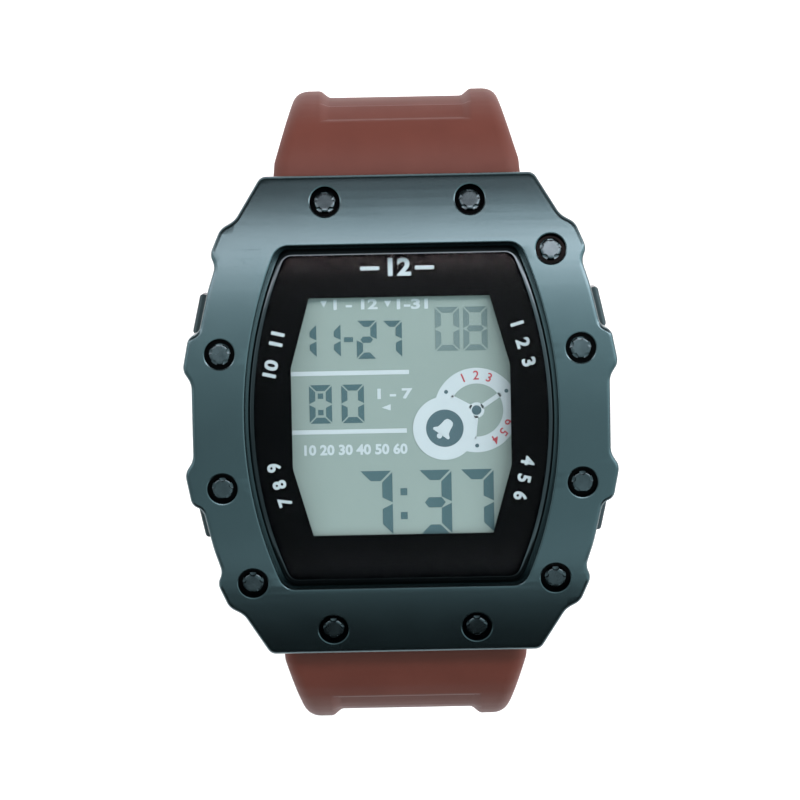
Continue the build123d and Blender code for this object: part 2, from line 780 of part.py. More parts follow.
with BuildPart() as battery_clip:
    with BuildSketch(Plane.XY.offset(clip_z)):
        with Locations((0, boss_y)):
            RectangleRounded(2 * clip_bar_half_width, clip_bar_width, clip_bar_width / 2 - seat_gap)
        with Locations((0, boss_y - clip_tongue_length / 2)):
            Rectangle(2 * clip_tongue_half_width, clip_tongue_length)
        with Locations(*boss_places):
            Circle(module_screw_shank_radius, mode=Mode.SUBTRACT)
    extrude(amount=clip_thickness)
battery_clip.part.label = "battery_clip"
export_step(battery_clip.part, "parts/battery_clip.step")

with BuildPart() as module_screws:
    with BuildSketch(Plane.XY.offset(clip_z - module_screw_head_height)):
        with Locations(*boss_places):
            Circle(module_screw_head_radius)
    extrude(amount=module_screw_head_height)
    with BuildSketch(Plane.XY.offset(clip_z)):
        with Locations(*boss_places):
            Circle(module_screw_shank_radius)
    extrude(amount=frame_web_z - clip_z)
module_screws.part.label = "module_screws"
export_step(module_screws.part, "parts/module_screws.step")

# The sounder on the case back, its contact spring, and what the board carries underneath
with BuildPart() as buzzer_disc:
    with BuildSketch(Plane.XY.offset(back_thickness)):
        with Locations((0, sounder_y)):
            Circle(sounder_radius)
    extrude(amount=sounder_thickness)
    with BuildSketch(Plane.XY.offset(back_thickness + sounder_thickness)):
        with Locations((0, sounder_y)):
            Circle(sounder_core_radius)
    extrude(amount=sounder_core_thickness)
buzzer_disc.part.label = "buzzer_disc"
export_step(buzzer_disc.part, "parts/buzzer_disc.step")

with BuildPart() as buzzer_spring:
    with BuildSketch(Plane.XY.offset(back_thickness + sounder_thickness)):
        with Locations((sounder_spring_x, sounder_spring_y)):
            Circle(sounder_spring_radius)
            Circle(sounder_spring_radius - sounder_spring_wall, mode=Mode.SUBTRACT)
    extrude(amount=board_z - back_thickness - sounder_thickness)
buzzer_spring.part.label = "buzzer_spring"
export_step(buzzer_spring.part, "parts/buzzer_spring.step")

with BuildPart() as chip_cover:
    with BuildSketch(Plane.XY.offset(board_z - chip_cover_height)):
        with Locations((chip_cover_x, chip_cover_y)):
            Circle(chip_cover_radius)
    extrude(amount=chip_cover_height)
    fillet(chip_cover.edges().group_by(Axis.Z)[0], chip_cover_round)
chip_cover.part.label = "chip_cover"
export_step(chip_cover.part, "parts/chip_cover.step")

with BuildPart() as quartz_can:
    with BuildSketch(Plane.ZX.offset(quartz_y - quartz_length / 2)):
        with Locations((board_z - quartz_radius, quartz_x)):
            Circle(quartz_radius)
    extrude(amount=quartz_length)
quartz_can.part.label = "quartz_can"
export_step(quartz_can.part, "parts/quartz_can.step")

with BuildPart() as chip_parts:
    with BuildSketch(Plane.XY.offset(board_z - chip_part_height)):
        for step in range(chip_part_count):
            with Locations((chip_part_column_x, chip_part_row_y - step * chip_part_step)):
                Rectangle(chip_part_length, chip_part_width)
            with Locations((step * chip_part_step - chip_part_step, chip_part_row_y)):
                Rectangle(chip_part_width, chip_part_length)
    extrude(amount=chip_part_height)
chip_parts.part.label = "chip_parts"
export_step(chip_parts.part, "parts/chip_parts.step")

with BuildPart() as side_contacts:
    leaf_x = frame_pocket_half_width + leaf_gap + leaf_thickness / 2
    for x_sign in (1, -1):
        for y_sign in (1, -1):
            with BuildSketch(Plane.XY.offset(leaf_low_z)):
                with Locations((x_sign * leaf_x, y_sign * stem_tip_y)):
                    Rectangle(leaf_thickness, 2 * leaf_half_width)
            extrude(amount=leaf_high_z - leaf_low_z)
            foot_x = leaf_x - leaf_foot_length / 2
            with BuildSketch(Plane.XY.offset(board_z - leaf_thickness)):
                with Locations((x_sign * foot_x, y_sign * stem_tip_y)):
                    Rectangle(leaf_foot_length, leaf_half_width)
            extrude(amount=leaf_thickness)
side_contacts.part.label = "side_contacts"
export_step(side_contacts.part, "parts/side_contacts.step")


# The strap's side view: each half goes round a bend, down a straight side and round a corner
floor_z = -strap_drop
strap_top_z = bar_z + strap_eye_radius
bend_z = strap_top_z - strap_bend_radius
bend_centre = (strap_bend_y, bend_z)
strap_outer_y = strap_bend_y + strap_bend_radius
mid_corner_radius = strap_corner_radius - strap_thickness / 2
mid_bend_radius = strap_bend_radius - strap_thickness / 2


def turned_point(centre, radius, angle, along):
    """Point where a bend has turned past the vertical by an angle, and a length further on."""
    y = centre[0] + radius * cos(radians(angle)) - along * sin(radians(angle))
    z = centre[1] - radius * sin(radians(angle)) - along * cos(radians(angle))
    return (y, z)


def corner_centre(lean, side_length):
    """Centre of the lower bend of a half whose side leans inwards by an angle."""
    return turned_point(bend_centre, strap_bend_radius - strap_corner_radius, lean, side_length)


pin_z = floor_z + pin_eye_radius
end_rise = mid_corner_radius * sin(radians(buckle_end_angle)) + buckle_end_length * cos(radians(buckle_end_angle))
lean_rise = (strap_corner_radius - strap_bend_radius) * sin(radians(buckle_side_lean))
buckle_side_length = (bend_z + lean_rise - pin_z - end_rise) / cos(radians(buckle_side_lean))
buckle_corner = corner_centre(buckle_side_lean, buckle_side_length)
pin_y = turned_point(buckle_corner, mid_corner_radius, buckle_end_angle, buckle_end_length)[0]
hole_side_length = bend_z - floor_z - strap_corner_radius


def strap_plane(distance, lean, side_length):
    """Plane on the middle surface of a half at twelve, facing outwards, at a distance past its upper bend."""
    turn = degrees((distance - side_length) / mid_corner_radius)
    if distance <= side_length:
        place = turned_point(bend_centre, mid_bend_radius, lean, distance)
        angle = lean
    elif lean + turn <= right_angle:
        place = turned_point(corner_centre(lean, side_length), mid_corner_radius, lean + turn, 0)
        angle = lean + turn
    else:
        past = distance - side_length - mid_corner_radius * radians(right_angle - lean)
        place = turned_point(corner_centre(lean, side_length), mid_corner_radius, right_angle, past)
        angle = right_angle
    facing = (0, cos(radians(angle)), -sin(radians(angle)))
    return Plane(origin=(0, *place), x_dir=(1, 0, 0), z_dir=facing)


def strap_side_view(lean, side_length, end_angle, end_length):
    """Draw a half from the side: flat at its bar, round the bend, down its side, round the corner."""
    corner = corner_centre(lean, side_length)
    inner_bend = strap_bend_radius - strap_thickness
    inner_corner = strap_corner_radius - strap_thickness
    with BuildSketch() as side:
        with BuildLine():
            Line((bar_y, strap_top_z), (strap_bend_y, strap_top_z))
            CenterArc(bend_centre, strap_bend_radius, -lean, right_angle + lean)
            Line(
                turned_point(bend_centre, strap_bend_radius, lean, 0),
                turned_point(corner, strap_corner_radius, lean, 0),
            )
            CenterArc(corner, strap_corner_radius, -end_angle, end_angle - lean)
            Polyline(
                turned_point(corner, strap_corner_radius, end_angle, 0),
                turned_point(corner, strap_corner_radius, end_angle, end_length),
                turned_point(corner, inner_corner, end_angle, end_length),
                turned_point(corner, inner_corner, end_angle, 0),
            )
            CenterArc(corner, inner_corner, -end_angle, end_angle - lean)
            Line(
                turned_point(corner, inner_corner, lean, 0),
                turned_point(bend_centre, inner_bend, lean, 0),
            )
            CenterArc(bend_centre, inner_bend, -lean, right_angle + lean)
            Polyline(
                (strap_bend_y, strap_top_z - strap_thickness),
                (bar_y, strap_top_z - strap_thickness),
                (bar_y, strap_top_z),
            )
        make_face()
        with Locations((bar_y, bar_z)):
            Circle(strap_eye_radius)
    return side.sketch


def strap_envelope():
    """Make the space that tapers in plan and in front view, inside which the band lies."""
    with BuildPart() as envelope:
        with BuildSketch(Plane.XY.offset(floor_z - cut_overrun)):
            with BuildLine():
                Polyline(
                    (strap_half_width, -strap_outer_y),
                    (strap_half_width, strap_taper_start_y),
                    (strap_bend_half_width, strap_outer_y + seat_gap),
                    (-strap_bend_half_width, strap_outer_y + seat_gap),
                    (-strap_half_width, strap_taper_start_y),
                    (-strap_half_width, -strap_outer_y),
                    close=True,
                )
            make_face()
        extrude(amount=strap_drop + bezel_top)
        with BuildSketch(Plane.XZ):
            with BuildLine():
                Polyline(
                    (strap_half_width, bezel_top),
                    (strap_half_width, bend_z + cut_overrun),
                    (strap_side_half_width, bend_z),
                    (strap_narrow_half_width, -strap_narrow_z),
                    (strap_narrow_half_width, floor_z - cut_overrun),
                    (-strap_narrow_half_width, floor_z - cut_overrun),
                    (-strap_narrow_half_width, -strap_narrow_z),
                    (-strap_side_half_width, bend_z),
                    (-strap_half_width, bend_z + cut_overrun),
                    (-strap_half_width, bezel_top),
                    close=True,
                )
            make_face()
        extrude(amount=strap_outer_y + cut_overrun, both=True, mode=Mode.INTERSECT)
    return envelope.part


def channel_cutter(lean, run):
    """Make the shallow channel in the middle of the outer face, running down the side by a length."""
    start_angle = degrees(asin((channel_start_y - strap_bend_y) / strap_bend_radius))
    floor_radius = strap_bend_radius - channel_depth
    start_y = strap_bend_y + floor_radius * sin(radians(start_angle))
    start_z = bend_z + floor_radius * cos(radians(start_angle))
    outside_y = strap_outer_y + cut_overrun
    with BuildPart() as channel:
        with BuildSketch(Plane.YZ):
            with BuildLine():
                CenterArc(bend_centre, floor_radius, -lean, right_angle - start_angle + lean)
                Polyline(
                    turned_point(bend_centre, floor_radius, lean, 0),
                    turned_point(bend_centre, floor_radius, lean, run),
                    turned_point(bend_centre, strap_bend_radius + cut_overrun, lean, run),
                    (outside_y, start_z + outside_y - start_y),
                    (start_y, start_z),
                )
            make_face()
        extrude(amount=channel_half_width, both=True)
    return channel.part


def bar_hole_cutter():
    """Make the hole for the spring bar."""
    with BuildPart() as hole:
        with BuildSketch(Plane.YZ):
            with Locations((bar_y, bar_z)):
                Circle(bar_tube_radius + running_gap)
        extrude(amount=strap_half_width + cut_overrun, both=True)
    return hole.part


# The half with the adjustment holes hangs at six o'clock, so it is made at twelve and turned over
with BuildPart() as hole_blank:
    with BuildSketch(Plane.YZ):
        add(strap_side_view(0, hole_side_length, right_angle, tail_flat_length))
    extrude(amount=strap_half_width, both=True)
    add(strap_envelope(), mode=Mode.INTERSECT)
    tip_edges = hole_blank.edges().filter_by(Axis.Z).group_by(Axis.Y)[0]
    fillet(tip_edges, tail_tip_round)
    add(channel_cutter(0, channel_hole_run), mode=Mode.SUBTRACT)
    add(bar_hole_cutter(), mode=Mode.SUBTRACT)
    for number in range(hole_count):
        hole_distance = hole_first + number * hole_step - mid_bend_radius
        with BuildSketch(strap_plane(hole_distance, 0, hole_side_length)):
            SlotOverall(hole_length, hole_width)
        extrude(amount=strap_thickness, both=True, mode=Mode.SUBTRACT)
with BuildPart() as strap_hole_half:
    add(hole_blank.part.mirror(Plane.XZ))
strap_hole_half.part.label = "strap_hole_half"
export_step(strap_hole_half.part, "parts/strap_hole_half.step")

# The half with the buckle hangs at twelve o'clock and ends in an eye round the buckle's pin
with BuildPart() as strap_buckle_half:
    with BuildSketch(Plane.YZ):
        add(strap_side_view(buckle_side_lean, buckle_side_length, buckle_end_angle, buckle_end_length))
        with Locations((pin_y, pin_z)):
            Circle(pin_eye_radius)
    extrude(amount=strap_half_width, both=True)
    add(strap_envelope(), mode=Mode.INTERSECT)
    add(channel_cutter(buckle_side_lean, channel_buckle_run), mode=Mode.SUBTRACT)
    add(bar_hole_cutter(), mode=Mode.SUBTRACT)
    with BuildSketch(Plane.YZ):
        with Locations((pin_y, pin_z)):
            Circle(pin_radius + running_gap)
    extrude(amount=strap_half_width, both=True, mode=Mode.SUBTRACT)
    slot_reach = tongue_eye_radius + pin_eye_radius + moving_gap
    with BuildSketch(Plane.YZ):
        with Locations((pin_y - slot_reach / 2, pin_z)):
            Rectangle(slot_reach, 2 * slot_reach)
        with Locations((pin_y, pin_z)):
            Circle(pin_eye_radius + moving_gap + pin_radius)
    extrude(amount=tongue_half_width + tongue_side_gap, both=True, mode=Mode.SUBTRACT)
strap_buckle_half.part.label = "strap_buckle_half"
export_step(strap_buckle_half.part, "parts/strap_buckle_half.step")

# Spring bars: a crimped tube, two sprung tips that seat in the case, and the spring between them
for name, y_sign in (("upper", 1), ("lower", -1)):
    with BuildPart() as bar_tube:
        with BuildSketch(Plane.YZ):
            with Locations((y_sign * bar_y, bar_z)):
                Circle(bar_tube_radius)
        extrude(amount=bar_tube_half_length, both=True)
        with BuildSketch(Plane.YZ):
            with Locations((y_sign * bar_y, bar_z)):
                Circle(bar_tube_radius - bar_tube_wall)
        extrude(amount=bar_tube_half_length - bar_tube_wall, both=True, mode=Mode.SUBTRACT)
        with BuildSketch(Plane.YZ):
            with Locations((y_sign * bar_y, bar_z)):
                Circle(bar_tip_radius + running_gap)
        extrude(amount=bar_tube_half_length, both=True, mode=Mode.SUBTRACT)
    bar_tube.part.label = f"{name}_bar_tube"
    export_step(bar_tube.part, f"parts/{name}_bar_tube.step")

    shoulder_end = bar_tube_half_length - bar_tube_wall
    with BuildPart() as bar_spring:
        with BuildSketch(Plane.YZ):
            with Locations((y_sign * bar_y, bar_z)):
                Circle(bar_shoulder_radius)
                Circle(bar_shoulder_radius - bar_tube_wall, mode=Mode.SUBTRACT)
        extrude(amount=shoulder_end - bar_shoulder_length, both=True)
    bar_spring.part.label = f"{name}_bar_spring"
    export_step(bar_spring.part, f"parts/{name}_bar_spring.step")

    for side, x_sign in (("right", 1), ("left", -1)):
        with BuildPart() as bar_tip:
            with BuildSketch(Plane.YZ.offset(x_sign * (shoulder_end - bar_shoulder_length))):
                with Locations((y_sign * bar_y, bar_z)):
                    Circle(bar_shoulder_radius)
            extrude(amount=x_sign * bar_shoulder_length)
            with BuildSketch(Plane.YZ.offset(x_sign * shoulder_end)):
                with Locations((y_sign * bar_y, bar_z)):
                    Circle(bar_tip_radius)
            extrude(amount=x_sign * (bar_tip_reach - shoulder_end))
        bar_tip.part.label = f"{name}_{side}_bar_tip"
        export_step(bar_tip.part, f"parts/{name}_{side}_bar_tip.step")

# The buckle: a frame with a notched bar, its pin, and the tongue that lies in the notch
buckle_low_z = floor_z + buckle_floor_gap
tongue_low_z = floor_z + tongue_floor_gap
arm_inner_x = buckle_half_width - buckle_arm_width
with BuildPart() as buckle_frame:
    with BuildSketch(Plane.XY.offset(buckle_low_z)):
        with Locations((0, pin_y + buckle_arm_overhang - (buckle_length + buckle_arm_overhang) / 2)):
            RectangleRounded(2 * buckle_half_width, buckle_length + buckle_arm_overhang, buckle_corner_radius)
        opening_length = buckle_length + buckle_arm_overhang - buckle_bar_width + cut_overrun
        with Locations((0, pin_y - buckle_length + buckle_bar_width + opening_length / 2)):
            Rectangle(2 * arm_inner_x, opening_length, mode=Mode.SUBTRACT)
    extrude(amount=buckle_thickness)
    fillet(buckle_frame.edges().group_by(Axis.Z)[-1], buckle_edge_round)
    with BuildSketch(Plane.XY.offset(buckle_low_z)):
        with Locations((0, pin_y - buckle_length + buckle_bar_width / 2)):
            Rectangle(2 * (tongue_half_width + tongue_side_gap), buckle_bar_width + cut_overrun)
    extrude(amount=tongue_low_z + tongue_thickness + tongue_side_gap - buckle_low_z, mode=Mode.SUBTRACT)
    with BuildSketch(Plane.YZ):
        with Locations((pin_y, pin_z)):
            Circle(pin_radius)
    extrude(amount=buckle_half_width - buckle_edge_round, both=True, mode=Mode.SUBTRACT)
buckle_frame.part.label = "buckle_frame"
export_step(buckle_frame.part, "parts/buckle_frame.step")

with BuildPart() as buckle_pin:
    with BuildSketch(Plane.YZ):
        with Locations((pin_y, pin_z)):
            Circle(pin_radius)
    extrude(amount=buckle_half_width - buckle_edge_round, both=True)
buckle_pin.part.label = "buckle_pin"
export_step(buckle_pin.part, "parts/buckle_pin.step")

with BuildPart() as buckle_tongue:
    with BuildSketch(Plane.YZ):
        with Locations((pin_y, pin_z)):
            Circle(tongue_eye_radius)
        with Locations((pin_y - tongue_length / 2, tongue_low_z + tongue_thickness / 2)):
            Rectangle(tongue_length, tongue_thickness)
        with Locations((pin_y, pin_z)):
            Circle(pin_radius + running_gap, mode=Mode.SUBTRACT)
    extrude(amount=tongue_half_width, both=True)
    tongue_tip = buckle_tongue.edges().filter_by(Axis.Z).group_by(Axis.Y)[0]
    fillet(tongue_tip, tongue_half_width - seat_gap)
buckle_tongue.part.label = "buckle_tongue"
export_step(buckle_tongue.part, "parts/buckle_tongue.step")


def keeper_ring(middle, half_width):
    """Make a keeper: a rounded loop round the band with room outside it for the other half."""
    inner_low = strap_thickness / 2 + keeper_gap
    inner_high = strap_thickness / 2 + keeper_room
    lift = (inner_high - inner_low) / 2
    height = inner_high + inner_low
    across = Plane(origin=middle.origin, x_dir=middle.x_dir, z_dir=middle.y_dir)
    facing = 1 if across.y_dir.dot(middle.z_dir) > 0 else -1
    with BuildPart() as ring:
        with BuildSketch(across):
            with Locations((0, facing * lift)):
                RectangleRounded(
                    2 * (half_width + keeper_wall), height + 2 * keeper_wall, keeper_corner_radius + keeper_wall
                )
                RectangleRounded(2 * half_width, height, keeper_gap, mode=Mode.SUBTRACT)
        extrude(amount=keeper_width / 2, both=True)
    return ring.part


# The free keeper slides on the straight side, the fixed one sits on the bend before the buckle
free_distance = (bend_z + free_keeper_z) / cos(radians(buckle_side_lean))
top_of_travel_z = free_keeper_z - free_keeper_travel - keeper_width / 2
taper_share = (top_of_travel_z + bend_z) / (strap_narrow_z + bend_z)
widest_there = strap_side_half_width - taper_share * (strap_side_half_width - strap_narrow_half_width)
free_plane = strap_plane(free_distance, buckle_side_lean, buckle_side_length)
free_keeper = keeper_ring(free_plane, widest_there + keeper_gap)
free_keeper.label = "free_keeper"
export_step(free_keeper, "parts/free_keeper.step")

fixed_distance = buckle_side_length + fixed_keeper_distance
fixed_plane = strap_plane(fixed_distance, buckle_side_lean, buckle_side_length)
fixed_keeper = keeper_ring(fixed_plane, strap_narrow_half_width + keeper_gap)
fixed_keeper.label = "fixed_keeper"
export_step(fixed_keeper, "parts/fixed_keeper.step")
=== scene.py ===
"""Dress the digital wristwatch: satin barrel bezel, bowed lens, printed display and rubber strap.

Sizes in the classes are millimetres and are turned into metres when a mesh is finished.
"""

from __future__ import annotations

import json
import logging
import math
from collections.abc import Callable, Iterable
from dataclasses import dataclass, field
from enum import Enum

import bmesh
import bpy
from mathutils import Matrix, Vector

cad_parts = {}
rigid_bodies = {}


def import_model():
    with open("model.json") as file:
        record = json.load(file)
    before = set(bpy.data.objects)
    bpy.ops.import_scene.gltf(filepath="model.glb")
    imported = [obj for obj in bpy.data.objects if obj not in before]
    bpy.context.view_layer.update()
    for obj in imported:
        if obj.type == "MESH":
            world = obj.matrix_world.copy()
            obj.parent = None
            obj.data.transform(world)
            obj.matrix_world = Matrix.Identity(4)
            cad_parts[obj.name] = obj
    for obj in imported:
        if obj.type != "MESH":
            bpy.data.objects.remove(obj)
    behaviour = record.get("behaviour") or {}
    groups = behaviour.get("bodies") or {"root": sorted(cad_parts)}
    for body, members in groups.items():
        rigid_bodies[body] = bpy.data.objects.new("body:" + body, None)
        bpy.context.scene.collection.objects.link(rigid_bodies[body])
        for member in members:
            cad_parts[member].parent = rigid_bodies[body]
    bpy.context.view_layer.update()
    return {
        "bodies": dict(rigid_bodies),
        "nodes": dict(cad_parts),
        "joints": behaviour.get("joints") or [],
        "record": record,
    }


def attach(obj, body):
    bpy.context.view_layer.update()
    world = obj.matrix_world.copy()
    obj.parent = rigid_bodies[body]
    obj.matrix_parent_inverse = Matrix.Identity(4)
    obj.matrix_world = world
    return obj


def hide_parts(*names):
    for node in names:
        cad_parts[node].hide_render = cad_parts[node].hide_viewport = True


MILLIMETRE = 0.001
SMOOTH_ANGLE = math.radians(32)
FULL_TURN = 2 * math.pi
log = logging.getLogger("watch")

Colour = tuple[float, float, float]
PlanPoint = tuple[float, float]


def linear(red: int, green: int, blue: int) -> Colour:
    """Turn a screen colour into the renderer's linear colour.

    Args:
        red: Red from 0 to 255.
        green: Green from 0 to 255.
        blue: Blue from 0 to 255.

    Returns:
        The three linear values.
    """
    shares = (red / 255, green / 255, blue / 255)
    return tuple(s / 12.92 if s < 0.04045 else ((s + 0.055) / 1.055) ** 2.4 for s in shares)


class Grain(Enum):
    """How a finish's fine relief runs over the surface."""

    FINE = (1.0, 1.0, 1.0)
    BRUSHED_ACROSS = (0.02, 1.0, 1.0)
    BRUSHED_ALONG = (1.0, 0.02, 1.0)


@dataclass(frozen=True)
class Finish:
    """A procedural finish: mottled colour, uneven roughness and a fine relief."""

    name: str
    colour: Colour
    shade: Colour
    roughness: float
    roughness_spread: float = 0.08
    metallic: float = 0.0
    coat: float = 0.0
    relief: float = 0.0
    relief_depth: float = 0.02
    relief_scale: float = 900.0
    mottle_scale: float = 180.0
    grain: Grain = Grain.FINE
    alpha: float = 1.0
    glow: float = 0.0
    sheen: float = 0.0
    specular: float = 0.5

    def make(self) -> bpy.types.Material:
        """Build the node material.

        Returns:
            The new material.
        """
        material = bpy.data.materials.new(self.name)
        material.use_nodes = True
        nodes = material.node_tree.nodes
        links = material.node_tree.links
        nodes.clear()
        output = nodes.new("ShaderNodeOutputMaterial")
        shader = nodes.new("ShaderNodeBsdfPrincipled")
        links.new(shader.outputs["BSDF"], output.inputs["Surface"])
        place = nodes.new("ShaderNodeTexCoord")
        stretch = nodes.new("ShaderNodeMapping")
        stretch.inputs["Scale"].default_value = self.grain.value
        links.new(place.outputs["Object"], stretch.inputs["Vector"])
        mottle = nodes.new("ShaderNodeTexNoise")
        mottle.inputs["Scale"].default_value = self.mottle_scale
        mottle.inputs["Detail"].default_value = 5.0
        links.new(stretch.outputs["Vector"], mottle.inputs["Vector"])
        blend = nodes.new("ShaderNodeMix")
        blend.data_type = "RGBA"
        blend.inputs["A"].default_value = (*self.colour, 1.0)
        blend.inputs["B"].default_value = (*self.shade, 1.0)
        links.new(mottle.outputs["Fac"], blend.inputs["Factor"])
        links.new(blend.outputs["Result"], shader.inputs["Base Color"])
        spread = nodes.new("ShaderNodeMapRange")
        spread.inputs["To Min"].default_value = self.roughness - self.roughness_spread
        spread.inputs["To Max"].default_value = self.roughness + self.roughness_spread
        smudge = nodes.new("ShaderNodeTexNoise")
        smudge.inputs["Scale"].default_value = self.mottle_scale / 2
        smudge.inputs["Detail"].default_value = 3.0
        links.new(place.outputs["Object"], smudge.inputs["Vector"])
        links.new(smudge.outputs["Fac"], spread.inputs["Value"])
        links.new(spread.outputs["Result"], shader.inputs["Roughness"])
        if self.relief > 0:
            fine = nodes.new("ShaderNodeTexNoise")
            fine.inputs["Scale"].default_value = self.relief_scale
            fine.inputs["Detail"].default_value = 3.0
            links.new(stretch.outputs["Vector"], fine.inputs["Vector"])
            bump = nodes.new("ShaderNodeBump")
            bump.inputs["Strength"].default_value = self.relief
            bump.inputs["Distance"].default_value = self.relief_depth * MILLIMETRE
            links.new(fine.outputs["Fac"], bump.inputs["Height"])
            links.new(bump.outputs["Normal"], shader.inputs["Normal"])
        shader.inputs["Metallic"].default_value = self.metallic
        shader.inputs["Coat Weight"].default_value = self.coat
        shader.inputs["Coat Roughness"].default_value = 0.08
        shader.inputs["Alpha"].default_value = self.alpha
        shader.inputs["Sheen Weight"].default_value = self.sheen
        shader.inputs["Specular IOR Level"].default_value = self.specular
        if self.glow > 0:
            links.new(blend.outputs["Result"], shader.inputs["Emission Color"])
            shader.inputs["Emission Strength"].default_value = self.glow
        return material


SATIN_PLASTIC = Finish(
    "satin_plastic", linear(63, 81, 85), linear(67, 86, 90), 0.25, 0.02, metallic=0.97, relief=0.25,
    relief_depth=0.01, relief_scale=3200, mottle_scale=320,
)
CASE_PLASTIC = Finish(
    "case_plastic", linear(40, 49, 52), linear(48, 58, 61), 0.42, 0.05, metallic=0.9, relief=0.4,
    relief_depth=0.015, relief_scale=2400,
)
PUSHER_PLASTIC = Finish(
    "pusher_plastic", linear(50, 61, 64), linear(58, 70, 73), 0.36, 0.05, metallic=0.9, relief=0.2,
    relief_depth=0.01,
)
BLACK_STEEL = Finish(
    "black_steel", linear(46, 56, 60), linear(76, 90, 94), 0.26, 0.08, metallic=1.0, relief=0.2,
    relief_depth=0.012, relief_scale=1800, mottle_scale=900,
)
LENS_GLASS = Finish(
    "lens_glass", linear(2, 3, 4), linear(3, 4, 5), 0.04, 0.02, alpha=0.08, specular=0.3
)
LENS_EDGE = Finish(
    "lens_edge", linear(42, 51, 54), linear(48, 58, 61), 0.14, 0.02, metallic=0.95, mottle_scale=500
)
# Black of the printed mask and border, also laid in the screw holes as painted shade.
MASK_AND_SHADE_BLACK = Finish("mask_and_shade_black", linear(0, 0, 1), linear(1, 2, 3), 0.15, 0.05, specular=0.02)
PRINT_WHITE = Finish("print_white", linear(200, 221, 226), linear(190, 213, 219), 0.5, specular=0.1)
PRINT_RED = Finish("print_red", linear(190, 96, 104), linear(180, 84, 92), 0.5, specular=0.1)
PRINT_GREY = Finish("print_grey", linear(78, 106, 114), linear(88, 118, 126), 0.5, specular=0.1)
DISPLAY_FILM = Finish(
    "display_film", linear(142, 166, 162), linear(150, 175, 171), 0.38, 0.08, mottle_scale=60, specular=0.15
)
SEGMENT_DARK = Finish("segment_dark", linear(74, 106, 112), linear(82, 114, 120), 0.45, specular=0.1)
SEGMENT_PALE = Finish("segment_pale", linear(110, 136, 137), linear(117, 143, 144), 0.45, specular=0.1)
BLACK_RUBBER = Finish("black_rubber", linear(12, 14, 15), linear(20, 22, 23), 0.7, relief=0.3)
SILICONE = Finish(
    "strap_silicone", linear(92, 50, 41), linear(82, 42, 33), 0.54, 0.05, relief=0.4, relief_depth=0.02,
    relief_scale=2200, mottle_scale=300, specular=0.24,
)
BACK_STEEL = Finish(
    "back_steel", linear(172, 176, 178), linear(150, 154, 157), 0.3, 0.08, metallic=1.0, relief=0.5,
    relief_scale=1500, grain=Grain.BRUSHED_ACROSS,
)
BRIGHT_STEEL = Finish(
    "bright_steel", linear(180, 183, 185), linear(150, 154, 157), 0.25, 0.08, metallic=1.0, relief=0.2,
    relief_scale=1500,
)
BRASS = Finish("gilt_brass", linear(200, 164, 96), linear(170, 134, 70), 0.3, metallic=1.0, relief=0.1)
WHITE_PLASTIC = Finish("white_plastic", linear(214, 214, 208), linear(200, 200, 194), 0.5, relief=0.2)
BOARD_GREEN = Finish("board_green", linear(30, 92, 58), linear(24, 78, 48), 0.4, relief=0.3)
RESIN_BLACK = Finish("resin_black", linear(14, 14, 15), linear(22, 22, 24), 0.25, coat=0.3)
CERAMIC_TAN = Finish("ceramic_tan", linear(170, 140, 104), linear(150, 120, 86), 0.4)
CLEAR_PLASTIC = Finish("clear_plastic", linear(226, 234, 230), linear(214, 224, 220), 0.2, coat=0.3)

CARRIED_NODES: dict[str, Finish] = {
    "case_body": CASE_PLASTIC,
    "crystal_gasket": MASK_AND_SHADE_BLACK,
    "front_polarizer": DISPLAY_FILM,
    "lcd_cell": DISPLAY_FILM,
    "reflector": WHITE_PLASTIC,
    "light_guide": CLEAR_PLASTIC,
    "backlight_led": CLEAR_PLASTIC,
    "zebra_strips": BLACK_RUBBER,
    "module_frame": WHITE_PLASTIC,
    "circuit_board": BOARD_GREEN,
    "chip_cover": RESIN_BLACK,
    "quartz_can": BRIGHT_STEEL,
    "chip_parts": CERAMIC_TAN,
    "battery_clip": BRIGHT_STEEL,
    "coin_cell": BACK_STEEL,
    "buzzer_disc": BRASS,
    "buzzer_spring": BRIGHT_STEEL,
    "side_contacts": BRASS,
    "module_screws": BRIGHT_STEEL,
    "case_back": BACK_STEEL,
    "case_back_gasket": BLACK_RUBBER,
    "case_back_screws": BRIGHT_STEEL,
    "buckle_frame": BLACK_STEEL,
    "buckle_tongue": BLACK_STEEL,
    "buckle_pin": BRIGHT_STEEL,
    "upper_bar_tube": BRIGHT_STEEL,
    "lower_bar_tube": BRIGHT_STEEL,
    "upper_bar_spring": BRIGHT_STEEL,
    "lower_bar_spring": BRIGHT_STEEL,
}
PLACES = ("upper_right", "upper_left", "lower_right", "lower_left")


class Paint:
    """Makes each finish's material once and hands it out."""

    made: dict[str, bpy.types.Material] = {}

    @classmethod
    def of(cls, finish: Finish) -> bpy.types.Material:
        """Give the material of a finish, making it on first use."""
        if finish.name not in cls.made:
            cls.made[finish.name] = finish.make()
        return cls.made[finish.name]


